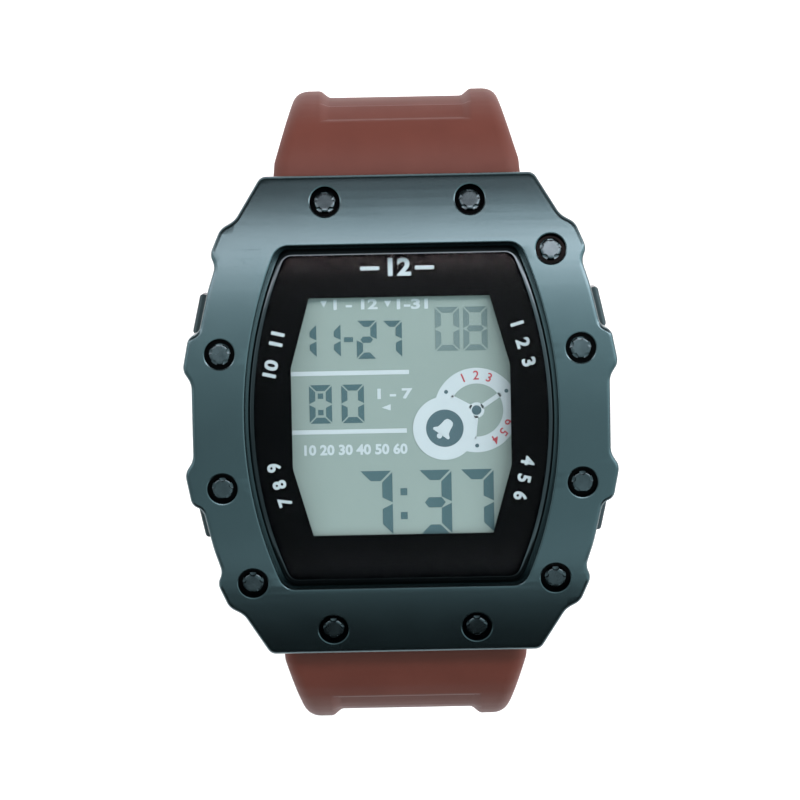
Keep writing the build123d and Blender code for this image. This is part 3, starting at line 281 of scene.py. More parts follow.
def finish_piece(
    name: str, shape: bmesh.types.BMesh, finish: Finish, body: str, smooth_angle: float = SMOOTH_ANGLE
) -> bpy.types.Object:
    """Turn a shape in millimetres into a shaded piece in metres that rides on a body.

    Args:
        name: The piece's name.
        shape: The mesh being built, which is freed.
        finish: Its finish.
        body: The body that carries it.
        smooth_angle: The sharpest edge that is shaded smooth.

    Returns:
        The new object.
    """
    bmesh.ops.remove_doubles(shape, verts=shape.verts, dist=0.0005)
    bmesh.ops.recalc_face_normals(shape, faces=shape.faces)
    bmesh.ops.scale(shape, vec=(MILLIMETRE,) * 3, verts=shape.verts)
    mesh = bpy.data.meshes.new(name)
    shape.to_mesh(mesh)
    shape.free()
    mesh.shade_smooth()
    mesh.set_sharp_from_angle(angle=smooth_angle)
    piece = bpy.data.objects.new(name, mesh)
    bpy.context.scene.collection.objects.link(piece)
    evening = piece.modifiers.new("even_shading", "WEIGHTED_NORMAL")
    evening.keep_sharp = True
    evening.weight = 80
    bpy.context.view_layer.update()
    piece.data = bpy.data.meshes.new_from_object(piece.evaluated_get(bpy.context.evaluated_depsgraph_get()))
    piece.modifiers.clear()
    bpy.data.meshes.remove(mesh)
    mesh = piece.data
    mesh.name = name
    mesh.materials.clear()
    mesh.materials.append(Paint.of(finish))
    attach(piece, body)
    log.info("%s: %d faces", name, len(mesh.polygons))
    return piece


class Joining(Enum):
    """What one closed shape does to another."""

    AWAY = "DIFFERENCE"
    TOGETHER = "UNION"


def combine(
    base: bmesh.types.BMesh, others: Iterable[bmesh.types.BMesh], joining: Joining = Joining.AWAY
) -> bmesh.types.BMesh:
    """Cut closed shapes out of a closed shape, or grow it by them.

    Args:
        base: The shape to change, which is freed.
        others: The shapes taken away or added one by one, which are freed.
        joining: Whether they are taken away or added.

    Returns:
        The changed shape, in triangles.
    """
    for cutter in others:
        objects = []
        for shape in (base, cutter):
            bmesh.ops.recalc_face_normals(shape, faces=shape.faces)
            mesh = bpy.data.meshes.new("working")
            shape.to_mesh(mesh)
            shape.free()
            part = bpy.data.objects.new("working", mesh)
            bpy.context.scene.collection.objects.link(part)
            objects.append(part)
        body, tool = objects
        cut = body.modifiers.new("cut", "BOOLEAN")
        cut.operation = joining.value
        cut.solver = "MANIFOLD"
        cut.object = tool
        bpy.context.view_layer.update()
        result = bpy.data.meshes.new_from_object(body.evaluated_get(bpy.context.evaluated_depsgraph_get()))
        base = bmesh.new()
        base.from_mesh(result)
        bpy.data.meshes.remove(result)
        for part in objects:
            old = part.data
            bpy.data.objects.remove(part)
            bpy.data.meshes.remove(old)
        bmesh.ops.triangulate(base, faces=base.faces)
    return base


def rounded_block(
    outline: list[PlanPoint], foot: float, head: float, edge: float, steps: int = 4, spread: float = 1.0
) -> bmesh.types.BMesh:
    """Raise a flat outline into a block whose far rim is rounded.

    Args:
        outline: The plan's points.
        foot: Height of the outline.
        head: Height of the far face, above or below the foot.
        edge: Radius of the far rim.
        steps: Facets in the rounding.
        spread: How many times wider than high the rounding is.

    Returns:
        The closed block.
    """
    shape = bmesh.new()
    corners = [shape.verts.new((x, y, foot)) for x, y in outline]
    face = shape.faces.new(corners)
    face.normal_update()
    upwards = head > foot
    if (face.normal.z > 0) != upwards:
        face.normal_flip()
    rise = Vector((0, 0, head - foot - math.copysign(edge, head - foot)))
    far = bmesh.ops.extrude_face_region(shape, geom=[face])
    far_verts = [g for g in far["geom"] if isinstance(g, bmesh.types.BMVert)]
    far_faces = [g for g in far["geom"] if isinstance(g, bmesh.types.BMFace)]
    bmesh.ops.translate(shape, vec=rise, verts=far_verts)
    bmesh.ops.recalc_face_normals(shape, faces=shape.faces)
    for step in range(steps):
        here, there = (math.pi / 2 * s / steps for s in (step, step + 1))
        inward = edge * (math.cos(here) - math.cos(there))
        outward = edge * (math.sin(there) - math.sin(here))
        bmesh.ops.inset_region(
            shape, faces=far_faces, thickness=inward * spread, depth=outward, use_even_offset=True, use_boundary=True
        )
    return shape


def outward_directions(points: list[PlanPoint]) -> list[PlanPoint]:
    """Give each point's outward direction in plan, for an anticlockwise outline."""
    directions = []
    for number, point in enumerate(points):
        before = Vector(point) - Vector(points[number - 1])
        after = Vector(points[(number + 1) % len(points)]) - Vector(point)
        along = before.normalized() + after.normalized()
        along.normalize()
        directions.append((along.y, -along.x))
    return directions


def flared_cutter(
    outline: list[PlanPoint], floor: float, top: float, mouth: float, steps: int = 4
) -> bmesh.types.BMesh:
    """Make a cutter whose walls curve outwards where they leave a flat top.

    Args:
        outline: The hole's plan, anticlockwise.
        floor: Height of the hole's floor.
        top: Height of the surface it is cut into.
        mouth: Radius of the rounding at the mouth.
        steps: Facets in the rounding.

    Returns:
        The closed cutter.
    """
    rings = [(floor, 0.0)]
    for step in range(steps + 1):
        turn = math.pi / 2 * step / steps
        rings.append((top - mouth + mouth * math.sin(turn), mouth * (1 - math.cos(turn))))
    rings.append((top + 1.0, mouth))
    directions = outward_directions(outline)
    shape = bmesh.new()
    loops = []
    for height, grow in rings:
        verts = [
            shape.verts.new((x + dx * grow, y + dy * grow, height))
            for (x, y), (dx, dy) in zip(outline, directions)
        ]
        loops.append([shape.edges.new((verts[n - 1], verts[n])) for n in range(len(verts))])
    for lower, upper in zip(loops, loops[1:]):
        bmesh.ops.bridge_loops(shape, edges=lower + upper)
    bmesh.ops.holes_fill(shape, edges=loops[0] + loops[-1])
    bmesh.ops.recalc_face_normals(shape, faces=shape.faces)
    return shape


def slice_across(shape: bmesh.types.BMesh, half_length: float, pitch: float) -> None:
    """Cut a shape's faces at even steps along Y so that they can be bowed.

    Args:
        shape: The shape.
        half_length: How far along Y the cuts reach each way.
        pitch: The distance between cuts.
    """
    count = int(half_length / pitch)
    for number in range(-count, count + 1):
        geometry = [*shape.verts, *shape.edges, *shape.faces]
        bmesh.ops.bisect_plane(
            shape, geom=geometry, dist=0.0001, plane_co=(0, number * pitch, 0), plane_no=(0, 1, 0)
        )


def bend_layer(shape: bmesh.types.BMesh, radius: float, flat_below: float) -> None:
    """Lower a shape towards its two ends so that its top is an arc along Y.

    Args:
        shape: The shape.
        radius: Radius of the arc.
        flat_below: Points at or under this height stay where they are.
    """
    for vert in shape.verts:
        if vert.co.z > flat_below:
            vert.co.z += math.sqrt(radius**2 - vert.co.y**2) - radius


def circle_points(centre: PlanPoint, radius: float, count: int) -> list[PlanPoint]:
    """Give points round a circle."""
    turns = [FULL_TURN * number / count for number in range(count)]
    return [(centre[0] + radius * math.cos(t), centre[1] + radius * math.sin(t)) for t in turns]


def joined(shapes: Iterable[bmesh.types.BMesh]) -> bmesh.types.BMesh:
    """Put several shapes into one, freeing them."""
    whole = bmesh.new()
    for shape in shapes:
        mesh = bpy.data.meshes.new("working")
        shape.to_mesh(mesh)
        shape.free()
        whole.from_mesh(mesh)
        bpy.data.meshes.remove(mesh)
    return whole


@dataclass
class Head:
    """The watch head: bezel, screws, lens and printed mask, built in place of the imported nodes."""

    body: str = "case"
    foot: float = 7.6
    top: float = 13.4
    bow_radius: float = 64.0
    slice_pitch: float = 0.8
    corner_round: float = 0.5
    rim_round: float = 0.42
    opening_round: float = 0.2
    lens_recess: float = 0.35
    lens_gap: float = 0.35
    lens_thickness: float = 1.6
    lens_edge: float = 0.45
    lens_line: float = 0.13
    gasket: float = 0.4
    ledge: float = 1.3
    mask_thickness: float = 0.3
    lens_half_height: float = 16.7
    lens_end_half_width: float = 11.6
    lens_mid_half_width: float = 15.1
    hole_radius: float = 1.475
    hole_depth: float = 0.95
    hole_edge: float = 0.14
    screw_radius: float = 1.05
    screw_height: float = 0.8
    screw_recess: float = 0.15
    scallop_radius: float = 0.34
    scallop_count: int = 5
    scallop_depth: float = 0.42
    # Thickness of the black rings of painted shade round the screw heads.
    shade_ring_depth: float = 0.3
    border_lift: float = 0.002
    border_inset: float = 0.4
    border_weight: float = 0.006
    quarter: list[PlanPoint] = field(
        default_factory=lambda: [
            (20.6, 3.8), (21.45, 5.1), (20.85, 8.3), (19.75, 8.8), (18.85, 12.8), (18.1, 15.2),
            (18.6, 16.4), (17.55, 18.9), (16.1, 19.7), (13.55, 23.95),
        ]
    )
    screw_quarter: list[PlanPoint] = field(
        default_factory=lambda: [(7.18, 21.37), (15.05, 16.37), (17.77, 6.66)]
    )
    window_quarter: list[PlanPoint] = field(default_factory=lambda: [(10.85, 5.0), (8.95, 11.85)])

    @staticmethod
    def all_quarters(quarter: list[PlanPoint]) -> list[PlanPoint]:
        """Run a quarter's points round all four quarters, anticlockwise."""
        back = quarter[::-1]
        return (
            quarter
            + [(-x, y) for x, y in back]
            + [(-x, -y) for x, y in quarter]
            + [(x, -y) for x, y in back]
        )

    def outline(self) -> list[PlanPoint]:
        """Give the bezel's plan with its corners rounded.

        Returns:
            The plan's points.
        """
        shape = bmesh.new()
        corners = [shape.verts.new((x, y, 0)) for x, y in self.all_quarters(self.quarter)]
        shape.faces.new(corners)
        bmesh.ops.bevel(
            shape, geom=shape.verts[:], offset=self.corner_round, segments=4, profile=0.5,
            affect="VERTICES", material=-1,
        )
        shape.faces.ensure_lookup_table()
        points = [(vert.co.x, vert.co.y) for vert in shape.faces[0].verts]
        shape.free()
        return points

    def barrel(self, grow: float, steps: int = 24) -> list[PlanPoint]:
        """Give the lens outline, grown all round.

        Args:
            grow: How much larger it is on every side.
            steps: Points along each bowed side.

        Returns:
            The plan's points, anticlockwise.
        """
        height = self.lens_half_height + grow
        end = self.lens_end_half_width + grow
        bulge = self.lens_mid_half_width - self.lens_end_half_width
        radius = (height**2 + bulge**2) / (2 * bulge)
        right = []
        for number in range(steps + 1):
            y = -height + 2 * height * number / steps
            right.append((end + bulge - radius + math.sqrt(radius**2 - y**2), y))
        points = right + [(-x, -y) for x, y in right]
        shape = bmesh.new()
        corners = [shape.verts.new((x, y, 0)) for x, y in points]
        shape.faces.new(corners)
        sharp = [corners[0], corners[steps], corners[steps + 1], corners[-1]]
        bmesh.ops.bevel(
            shape, geom=sharp, offset=1.0, segments=5, profile=0.5, affect="VERTICES", material=-1
        )
        shape.faces.ensure_lookup_table()
        points = [(vert.co.x, vert.co.y) for vert in shape.faces[0].verts]
        shape.free()
        return points

    def screw_places(self) -> list[PlanPoint]:
        """Give the twelve screws' places."""
        signs = ((1, 1), (-1, 1), (-1, -1), (1, -1))
        return [(x * sx, y * sy) for x, y in self.screw_quarter for sx, sy in signs]

    def build_bezel(self) -> None:
        """Build the bezel: a rounded block with a lens well and twelve sunk holes, bowed along Y."""
        clear = 1.0
        ledge_height = self.top - self.lens_recess - self.lens_thickness - self.gasket
        block = rounded_block(self.outline(), self.foot, self.top, self.rim_round, 6)
        throat = rounded_block(self.barrel(-self.ledge), self.foot - clear, self.top + clear, 0.01, 1)
        well = flared_cutter(self.barrel(self.lens_gap), ledge_height, self.top, self.opening_round, 6)
        hole_floor = self.top - self.hole_depth
        holes = joined(
            flared_cutter(circle_points(place, self.hole_radius, 40), hole_floor, self.top, self.hole_edge, 2)
            for place in self.screw_places()
        )
        shape = combine(block, [throat, well, holes])
        bmesh.ops.dissolve_limit(shape, angle_limit=math.radians(0.2), verts=shape.verts, edges=shape.edges)
        bmesh.ops.dissolve_degenerate(shape, dist=0.001, edges=shape.edges)
        slice_across(shape, self.quarter[-1][1], self.slice_pitch)
        bmesh.ops.dissolve_degenerate(shape, dist=0.001, edges=shape.edges)
        bend_layer(shape, self.bow_radius, self.foot + 0.05)
        piece = finish_piece("bezel_shell", shape, SATIN_PLASTIC, self.body, math.radians(17))
        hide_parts("bezel")

    def build_screws(self) -> None:
        """Build the twelve screws: a domed head with five scallops in its rim, and round each head a black ring of
        painted shade in its hole.
        """
        heads = []
        for place in self.screw_places():
            lift = self.top - self.screw_recess + math.sqrt(self.bow_radius**2 - place[1] ** 2) - self.bow_radius
            head = rounded_block(
                circle_points((0, 0), self.screw_radius, 40), lift - self.screw_height, lift, 0.2
            )
            cutters = []
            for number in range(self.scallop_count):
                turn = FULL_TURN * (number + 0.25) / self.scallop_count
                middle = (self.screw_radius * math.cos(turn), self.screw_radius * math.sin(turn))
                cutters.append(
                    rounded_block(
                        circle_points(middle, self.scallop_radius, 16),
                        lift + self.scallop_depth, lift - self.scallop_depth, 0.08, 2,
                    )
                )
            head = combine(head, [joined(cutters)])
            bmesh.ops.translate(head, vec=(place[0], place[1], 0), verts=head.verts)
            tilt = -math.asin(place[1] / self.bow_radius)
            bmesh.ops.rotate(
                head, cent=(place[0], place[1], lift), matrix=Matrix.Rotation(tilt, 3, "X"), verts=head.verts
            )
            heads.append(head)
        piece = finish_piece("star_screws", joined(heads), BLACK_STEEL, self.body)
        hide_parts("bezel_screws")
        # A flat black ring round each head is painted shade for the shadow down in its hole.
        gap_shade_rings = joined(
            ring_shape(place, self.screw_radius, self.hole_radius, self.top - self.hole_depth, self.shade_ring_depth)
            for place in self.screw_places()
        )
        bend_layer(gap_shade_rings, self.bow_radius, 0)
        piece = finish_piece("screw_gap_painted_shade", gap_shade_rings, MASK_AND_SHADE_BLACK, self.body)

    def build_lens(self) -> None:
        """Build the bowed lens pane and its polished bevelled edge."""
        top = self.top - self.lens_recess
        radius = self.bow_radius - self.lens_recess
        reach = self.lens_edge + self.lens_line
        pane = rounded_block(self.barrel(-reach), top - self.lens_edge, top, 0.02, 1)
        slice_across(pane, self.lens_half_height, self.slice_pitch)
        bend_layer(pane, radius, 0)
        piece = finish_piece("lens_pane", pane, LENS_GLASS, self.body)
        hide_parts("crystal")
        rim = rounded_block(self.barrel(0), top - self.lens_thickness, top, self.lens_edge, 5)
        flat = [face for face in rim.faces if face.normal.z > 0.99]
        bmesh.ops.inset_region(rim, faces=flat, thickness=self.lens_line, use_even_offset=True)
        ends = [face for face in rim.faces if abs(face.normal.z) > 0.99 and len(face.verts) > 4]
        bmesh.ops.delete(rim, geom=ends, context="FACES_ONLY")
        slice_across(rim, self.lens_half_height, self.slice_pitch)
        bend_layer(rim, radius, 0)
        bmesh.ops.solidify(rim, geom=rim.faces[:], thickness=0.12)
        piece = finish_piece("lens_edge", rim, LENS_EDGE, self.body)
        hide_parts("crystal")
        self.build_lens_border(top - self.lens_thickness + self.border_lift, radius)

    def build_lens_border(self, foot: float, radius: float) -> None:
        """Build the black print that hides the gasket behind the lens's border.

        Args:
            foot: Height of the print's underside.
            radius: Radius of the lens's bow.
        """
        border = extruded(self.barrel(-self.border_inset), foot, self.border_weight)
        opening = rounded_block(self.barrel(-self.ledge - self.border_inset), foot - 1, foot + 1, 0.01, 1)
        shape = combine(border, [opening])
        slice_across(shape, self.lens_half_height, self.slice_pitch)
        bend_layer(shape, radius, 0)
        piece = finish_piece("lens_border", shape, MASK_AND_SHADE_BLACK, self.body)
        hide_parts("crystal")

    def build_mask(self) -> None:
        """Build the glossy black plate under the lens, with the display's window cut out."""
        top = self.top - self.lens_recess - self.lens_thickness
        plate = rounded_block(self.barrel(-self.ledge - 0.1), top - self.mask_thickness, top, 0.02, 1)
        window = rounded_block(self.all_quarters(self.window_quarter), top - 2, top + 2, 0.02, 1)
        shape = combine(plate, [window])
        slice_across(shape, self.lens_half_height, self.slice_pitch)
        bend_layer(shape, self.bow_radius - self.lens_recess, 0)
        piece = finish_piece("window_mask", shape, MASK_AND_SHADE_BLACK, self.body)
        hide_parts("dial_mask")

    def build(self) -> None:
        """Build every piece of the head."""
        self.build_bezel()
        self.build_screws()
        self.build_lens()
        self.build_mask()


def extruded(outline: list[PlanPoint], foot: float, thickness: float) -> bmesh.types.BMesh:
    """Give a flat outline a small even thickness."""
    return rounded_block(outline, foot, foot + thickness, thickness / 4, 1)


def ring_shape(centre: PlanPoint, inner: float, outer: float, foot: float, thickness: float) -> bmesh.types.BMesh:
    """Turn a small rectangle round a centre into a flat ring.

    Args:
        centre: The ring's centre in plan.
        inner: Its inner radius.
        outer: Its outer radius.
        foot: Height of its underside.
        thickness: Its thickness.

    Returns:
        The closed ring.
    """
    shape = bmesh.new()
    corners = [(inner, foot), (outer, foot), (outer, foot + thickness), (inner, foot + thickness)]
    verts = [shape.verts.new((centre[0] + reach, centre[1], height)) for reach, height in corners]
    edges = [shape.edges.new((verts[n - 1], verts[n])) for n in range(len(verts))]
    bmesh.ops.spin(
        shape, geom=[*verts, *edges], cent=(centre[0], centre[1], 0), axis=(0, 0, 1), angle=FULL_TURN,
        steps=72, use_merge=True,
    )
    return shape


def figure_shape(
    words: str, height: float, centre: PlanPoint, turn: float, foot: float, width: float = 0.0, weight: float = 0.014
) -> bmesh.types.BMesh:
    """Set plain figures as a thin raised mesh.

    Args:
        words: The figures.
        height: Height of a figure.
        centre: Where their middle lies in plan.
        turn: How far they are turned anticlockwise, in degrees.
        foot: Height of their underside.
        width: How wide the row is stretched, or nothing to leave it.
        weight: How much the strokes are thickened, as a share of the height.

    Returns:
        The figures' shape.
    """
    curve = bpy.data.curves.new("figures", "FONT")
    curve.body = words
    curve.size = height / 0.73
    curve.align_x = "CENTER"
    curve.align_y = "CENTER"
    curve.offset = height * weight
    curve.extrude = 0.02
    curve.resolution_u = 3
    holder = bpy.data.objects.new("figures", curve)
    bpy.context.scene.collection.objects.link(holder)
    bpy.context.view_layer.update()
    mesh = bpy.data.meshes.new_from_object(holder.evaluated_get(bpy.context.evaluated_depsgraph_get()))
    shape = bmesh.new()
    shape.from_mesh(mesh)
    bpy.data.objects.remove(holder)
    bpy.data.curves.remove(curve)
    bpy.data.meshes.remove(mesh)
    bmesh.ops.remove_doubles(shape, verts=shape.verts, dist=0.0001)
    if width > 0:
        reach = max(vert.co.x for vert in shape.verts) - min(vert.co.x for vert in shape.verts)
        bmesh.ops.scale(shape, vec=(width / reach, 1, 1), verts=shape.verts)
    spin = Matrix.Rotation(math.radians(turn), 4, "Z")
    bmesh.ops.transform(
        shape, matrix=Matrix.Translation((centre[0], centre[1], foot + 0.02)) @ spin, verts=shape.verts
    )
    return shape


@dataclass(frozen=True)
class Digit:
    """One seven-segment figure: its value, middle, width, height and bar thickness."""

    figure: str
    centre: PlanPoint
    width: float
    height: float
    bar: float
    gap: float = 0.1

    def segments(self) -> list[list[PlanPoint]]:
        """Give the lit bars' outlines, with mitred corners.

        Returns:
            One outline for each lit bar.
        """
        a, b, t, g = self.width / 2, self.height / 2, self.bar, self.gap
        top = [(-a + g, b), (a - g, b), (a - t - g, b - t), (-a + t + g, b - t)]
        side = [(a, b - g), (a, g / 2), (a - t, t / 2 + g / 2), (a - t, b - t - g)]
        middle = [
            (-a + t * 0.6, 0), (-a + t, t / 2), (a - t, t / 2), (a - t * 0.6, 0), (a - t, -t / 2), (-a + t, -t / 2),
        ]
        bars = {
            "top": top,
            "bottom": [(x, -y) for x, y in top],
            "upper_right": side,
            "lower_right": [(x, -y) for x, y in side],
            "upper_left": [(-x, y) for x, y in side],
            "lower_left": [(-x, -y) for x, y in side],
            "middle": middle,
        }
        lit = {
            "0": ("top", "bottom", "upper_right", "lower_right", "upper_left", "lower_left"),
            "1": ("upper_right", "lower_right"),
            "2": ("top", "upper_right", "middle", "lower_left", "bottom"),
            "3": ("top", "upper_right", "middle", "lower_right", "bottom"),
            "7": ("top", "upper_right", "lower_right"),
            "8": tuple(bars),
        }[self.figure]
        x0, y0 = self.centre
        return [[(x0 + x, y0 + y) for x, y in bars[name]] for name in lit]


@dataclass
class Display:
    """What the display shows: dark figures, white rules and figures, and the two white rings."""

    body: str = "case"
    face: float = 9.51
    print_thickness: float = 0.03
    print_weight: float = 0.05
    border_face: float = 11.46
    border_radius: float = 63.65
    shift: tuple[float, float, float] = (-0.2, 0.18, 0.0)
    border: list[tuple[str, float, float, PlanPoint, float]] = field(
        default_factory=lambda: [
            ("12", 1.7, 2.3, (0.06, 14.52), 0),
            ("10  11", 1.3, 4.5, (-12.25, 6.2), 77),
            ("7  8  9", 1.3, 4.5, (-11.95, -6.73), 106),
            ("1  2  3", 1.3, 4.5, (12.3, 6.91), -74),
            ("4  5  6", 1.3, 4.5, (12.2, -6.53), -103),
        ]
    )
    border_bars: list[tuple[float, float]] = field(default_factory=lambda: [(-2.65, 14.52), (2.77, 14.52)])
    border_bar_half: tuple[float, float] = (0.95, 0.19)
    window_edge: float = 10.92
    window_end: float = 11.9
    date_row: list[Digit] = field(
        default_factory=lambda: [
            Digit("1", (-9.05, 7.4), 1.93, 3.4, 0.68),
            Digit("1", (-6.64, 7.4), 1.93, 3.4, 0.68),
            Digit("2", (-3.09, 7.43), 2.0, 3.8, 0.62),
            Digit("7", (-0.56, 7.43), 1.95, 3.7, 0.62),
            Digit("0", (-7.8, 1.07), 2.25, 3.85, 0.6),
            Digit("0", (-4.6, 1.07), 2.25, 3.85, 0.6),
        ]
    )
    pale_row: list[Digit] = field(
        default_factory=lambda: [
            Digit("0", (4.93, 8.36), 2.42, 4.38, 0.6),
            Digit("8", (7.72, 8.36), 2.42, 4.38, 0.6),
        ]
    )
    time_row: list[Digit] = field(
        default_factory=lambda: [
            Digit("7", (-2.47, -8.95), 3.31, 6.5, 1.02, 0.14),
            Digit("3", (3.43, -8.95), 3.31, 6.5, 1.02, 0.14),
            Digit("7", (7.6, -8.95), 3.38, 6.5, 1.02, 0.14),
        ]
    )
    colon: list[PlanPoint] = field(default_factory=lambda: [(0.31, -7.83), (0.31, -10.23)])
    colon_half: float = 0.34
    dash: PlanPoint = (-4.9, 7.47)
    dash_half: tuple[float, float] = (0.45, 0.24)
    rule_height: float = 0.44
    rules: list[tuple[float, float]] = field(default_factory=lambda: [(1.05, 4.14), (0.72, -1.71)])
    large_ring: PlanPoint = (7.7, 0.2)
    large_outer: float = 4.22
    large_inner: float = 2.66
    small_ring: PlanPoint = (4.51, -1.55)
    small_outer: float = 3.17
    small_inner: float = 1.87
    hub_radius: float = 0.78
    spoke_width: float = 0.46
    stud_radius: float = 0.2
    rims: list[tuple[str, float]] = field(
        default_factory=lambda: [("1", 112), ("2", 90), ("3", 68), ("6", -22), ("5", -40), ("4", -58)]
    )
    studs: list[float] = field(default_factory=lambda: [148, 32, -90])

    def keep(
        self, name: str, shapes: Iterable[bmesh.types.BMesh], finish: Finish
    ) -> None:
        """Clip a printed layer to the window and keep it as one piece.

        Args:
            name: The piece's name.
            shapes: What it is made of.
            finish: Its finish.
        """
        layer = joined(shapes)
        bmesh.ops.translate(layer, vec=self.shift, verts=layer.verts)
        for place, normal in (
            ((self.window_edge, 0, 0), (1, 0, 0)),
            ((-self.window_edge, 0, 0), (-1, 0, 0)),
            ((0, -self.window_end, 0), (0, -1, 0)),
        ):
            geometry = [*layer.verts, *layer.edges, *layer.faces]
            cut = bmesh.ops.bisect_plane(
                layer, geom=geometry, dist=0.0001, plane_co=place, plane_no=normal, clear_outer=True
            )
            edges = [g for g in cut["geom_cut"] if isinstance(g, bmesh.types.BMEdge)]
            if edges:
                bmesh.ops.holes_fill(layer, edges=edges)
        piece = finish_piece(name, layer, finish, self.body)

    def bars(self, digits: list[Digit]) -> list[bmesh.types.BMesh]:
        """Raise the lit bars of some figures."""
        return [
            extruded(outline, self.face, self.print_thickness) for digit in digits for outline in digit.segments()
        ]

    def block(self, x: float, y: float, half_x: float, half_y: float, foot: float) -> bmesh.types.BMesh:
        """Raise a small rectangle."""
        outline = [(x - half_x, y - half_y), (x + half_x, y - half_y), (x + half_x, y + half_y), (x - half_x, y + half_y)]
        return extruded(outline, foot, self.print_thickness)

    def build_figures(self) -> None:
        """Build the dark figures of the date, the week and the time."""
        dark = self.bars(self.date_row) + self.bars(self.time_row)
        for x, y in self.colon:
            dark.append(self.block(x, y, self.colon_half, self.colon_half * 1.05, self.face))
        dark.append(self.block(*self.dash, *self.dash_half, self.face))
        middle = self.date_row[-2].centre
        for rise in (0.82, -0.82):
            dark.append(self.block(middle[0], middle[1] + rise, 0.27, 0.27, self.face))
        self.keep("display_figures", dark, SEGMENT_DARK)
        self.keep("display_pale_figures", self.bars(self.pale_row), SEGMENT_PALE)

    def build_print(self) -> None:
        """Build the white rules, pointers and figures printed over the display."""
        white = []
        for right, y in self.rules:
            left = -self.window_edge - 1
            white.append(self.block((left + right) / 2, y, (right - left) / 2, self.rule_height / 2, self.face))
        for x, y in ((-7.3, 11.05), (-0.95, 10.95)):
            white.append(extruded([(x - 0.36, y + 0.33), (x + 0.36, y + 0.33), (x, y - 0.33)], self.face, 0.03))
        white.append(extruded([(-0.84, 0.95), (-1.74, 0.63), (-0.84, 0.32)], self.face, 0.03))
        for words, height, width, place in (
            ("1 - 12", 0.98, 4.4, (-4.3, 10.9)),
            ("1-31", 0.98, 3.1, (1.5, 10.85)),
            ("1 - 7", 1.0, 3.5, (-0.6, 1.95)),
            ("10 20 30 40 50 60", 1.0, 10.3, (-4.51, -3.58)),
        ):
            white.append(figure_shape(words, height, place, 0, self.face, width, self.print_weight))
        self.keep("display_white_print", white, PRINT_WHITE)

    def spoke(self, turn: float) -> bmesh.types.BMesh:
        """Make one spoke from the large ring's hub to its rim."""
        reach = (self.large_inner + self.hub_radius) / 2
        bar = self.block(reach, 0, (self.large_inner - self.hub_radius) / 2 + 0.2, self.spoke_width / 2, self.face)
        place = Matrix.Translation((*self.large_ring, 0)) @ Matrix.Rotation(math.radians(turn), 4, "Z")
        bmesh.ops.transform(bar, matrix=place, verts=bar.verts)
        return bar

    def build_rings(self) -> None:
        """Build the two white rings with their hub, studs, figures and bell."""
        thickness = self.print_thickness
        large = [ring_shape(self.large_ring, self.large_inner, self.large_outer, self.face, thickness)]
        large.append(ring_shape(self.large_ring, self.hub_radius * 0.62, self.hub_radius, self.face, thickness))
        large += [self.spoke(turn) for turn in (33, 152, -96)]
        self.keep("display_large_ring", large, PRINT_WHITE)
        high = self.face + thickness
        small = [ring_shape(self.small_ring, self.small_inner, self.small_outer, high, thickness)]
        self.keep("display_small_ring", small, PRINT_WHITE)
        disc = [extruded(circle_points(self.small_ring, self.small_inner + 0.05, 48), high, thickness * 0.9)]
        disc.append(extruded(circle_points(self.large_ring, self.hub_radius * 0.64, 32), self.face, thickness * 0.9))
        radius = (self.large_inner + self.large_outer) / 2
        for turn in self.studs:
            place = self.on_ring(turn, radius * 1.03)
            disc.append(extruded(circle_points(place, self.stud_radius, 16), high, thickness * 0.6))
        self.keep("display_dark_discs", disc, PRINT_GREY)
        red = []
        for words, turn in self.rims:
            red.append(figure_shape(words, 0.92, self.on_ring(turn, radius), turn - 90, high))
        self.keep("display_ring_figures", red, PRINT_RED)
        self.keep("display_bell", self.bell(high + thickness), PRINT_WHITE)

    def build_border(self) -> None:
        """Build the plain hour figures printed on the black border."""
        white = [
            figure_shape(words, height, place, turn, self.border_face, width, self.print_weight)
            for words, height, width, place, turn in self.border
        ]
        white += [self.block(x, y, *self.border_bar_half, self.border_face) for x, y in self.border_bars]
        layer = joined(white)
        bmesh.ops.translate(layer, vec=self.shift, verts=layer.verts)
        slice_across(layer, 16, 0.5)
        bend_layer(layer, self.border_radius, 0)
        piece = finish_piece("border_print", layer, PRINT_WHITE, self.body)

    def on_ring(self, turn: float, radius: float) -> PlanPoint:
        """Give the place on the large ring at a turn in degrees."""
        angle = math.radians(turn)
        return (self.large_ring[0] + radius * math.cos(angle), self.large_ring[1] + radius * math.sin(angle))

    def bell(self, foot: float) -> list[bmesh.types.BMesh]:
        """Make the leaning bell of the alarm sign.

        Args:
            foot: Height of its underside.

        Returns:
            The bell and its clapper.
        """
        half = [(0.0, 1.0), (0.32, 0.93), (0.5, 0.66), (0.55, 0.2), (0.64, -0.22), (0.98, -0.55), (0.92, -0.74)]
        outline = half + [(-x, y) for x, y in half[:0:-1]]
        shapes = [extruded(outline[::-1], foot, self.print_thickness)]
        shapes.append(extruded(circle_points((0.0, -0.92), 0.27, 20), foot, self.print_thickness))
        lean = Matrix.Translation((*self.small_ring, 0)) @ Matrix.Rotation(math.radians(-36), 4, "Z")
        for shape in shapes:
            bmesh.ops.transform(shape, matrix=lean, verts=shape.verts)
        return shapes

    def build(self) -> None:
        """Build everything that the display shows."""
        self.build_figures()
        self.build_print()
        self.build_rings()
        self.build_border()


def box_outline(low_x: float, low_y: float, high_x: float, high_y: float) -> list[PlanPoint]:
    """Give a rectangle's corners, anticlockwise."""
    return [(low_x, low_y), (high_x, low_y), (high_x, high_y), (low_x, high_y)]


def bar_shape(radius: float, half_length: float, place: PlanPoint, sides: int = 40) -> bmesh.types.BMesh:
    """Make a round bar along X.

    Args:
        radius: Its radius.
        half_length: Half its length.
        place: Its axis in Y and Z.
        sides: Facets round it.

    Returns:
        The closed bar.
    """
    shape = bmesh.new()
    place_bar = Matrix.Translation((0, *place)) @ Matrix.Rotation(math.pi / 2, 4, "Y")
    bmesh.ops.create_cone(
        shape, cap_ends=True, segments=sides, radius1=radius, radius2=radius, depth=2 * half_length, matrix=place_bar
    )
    return shape


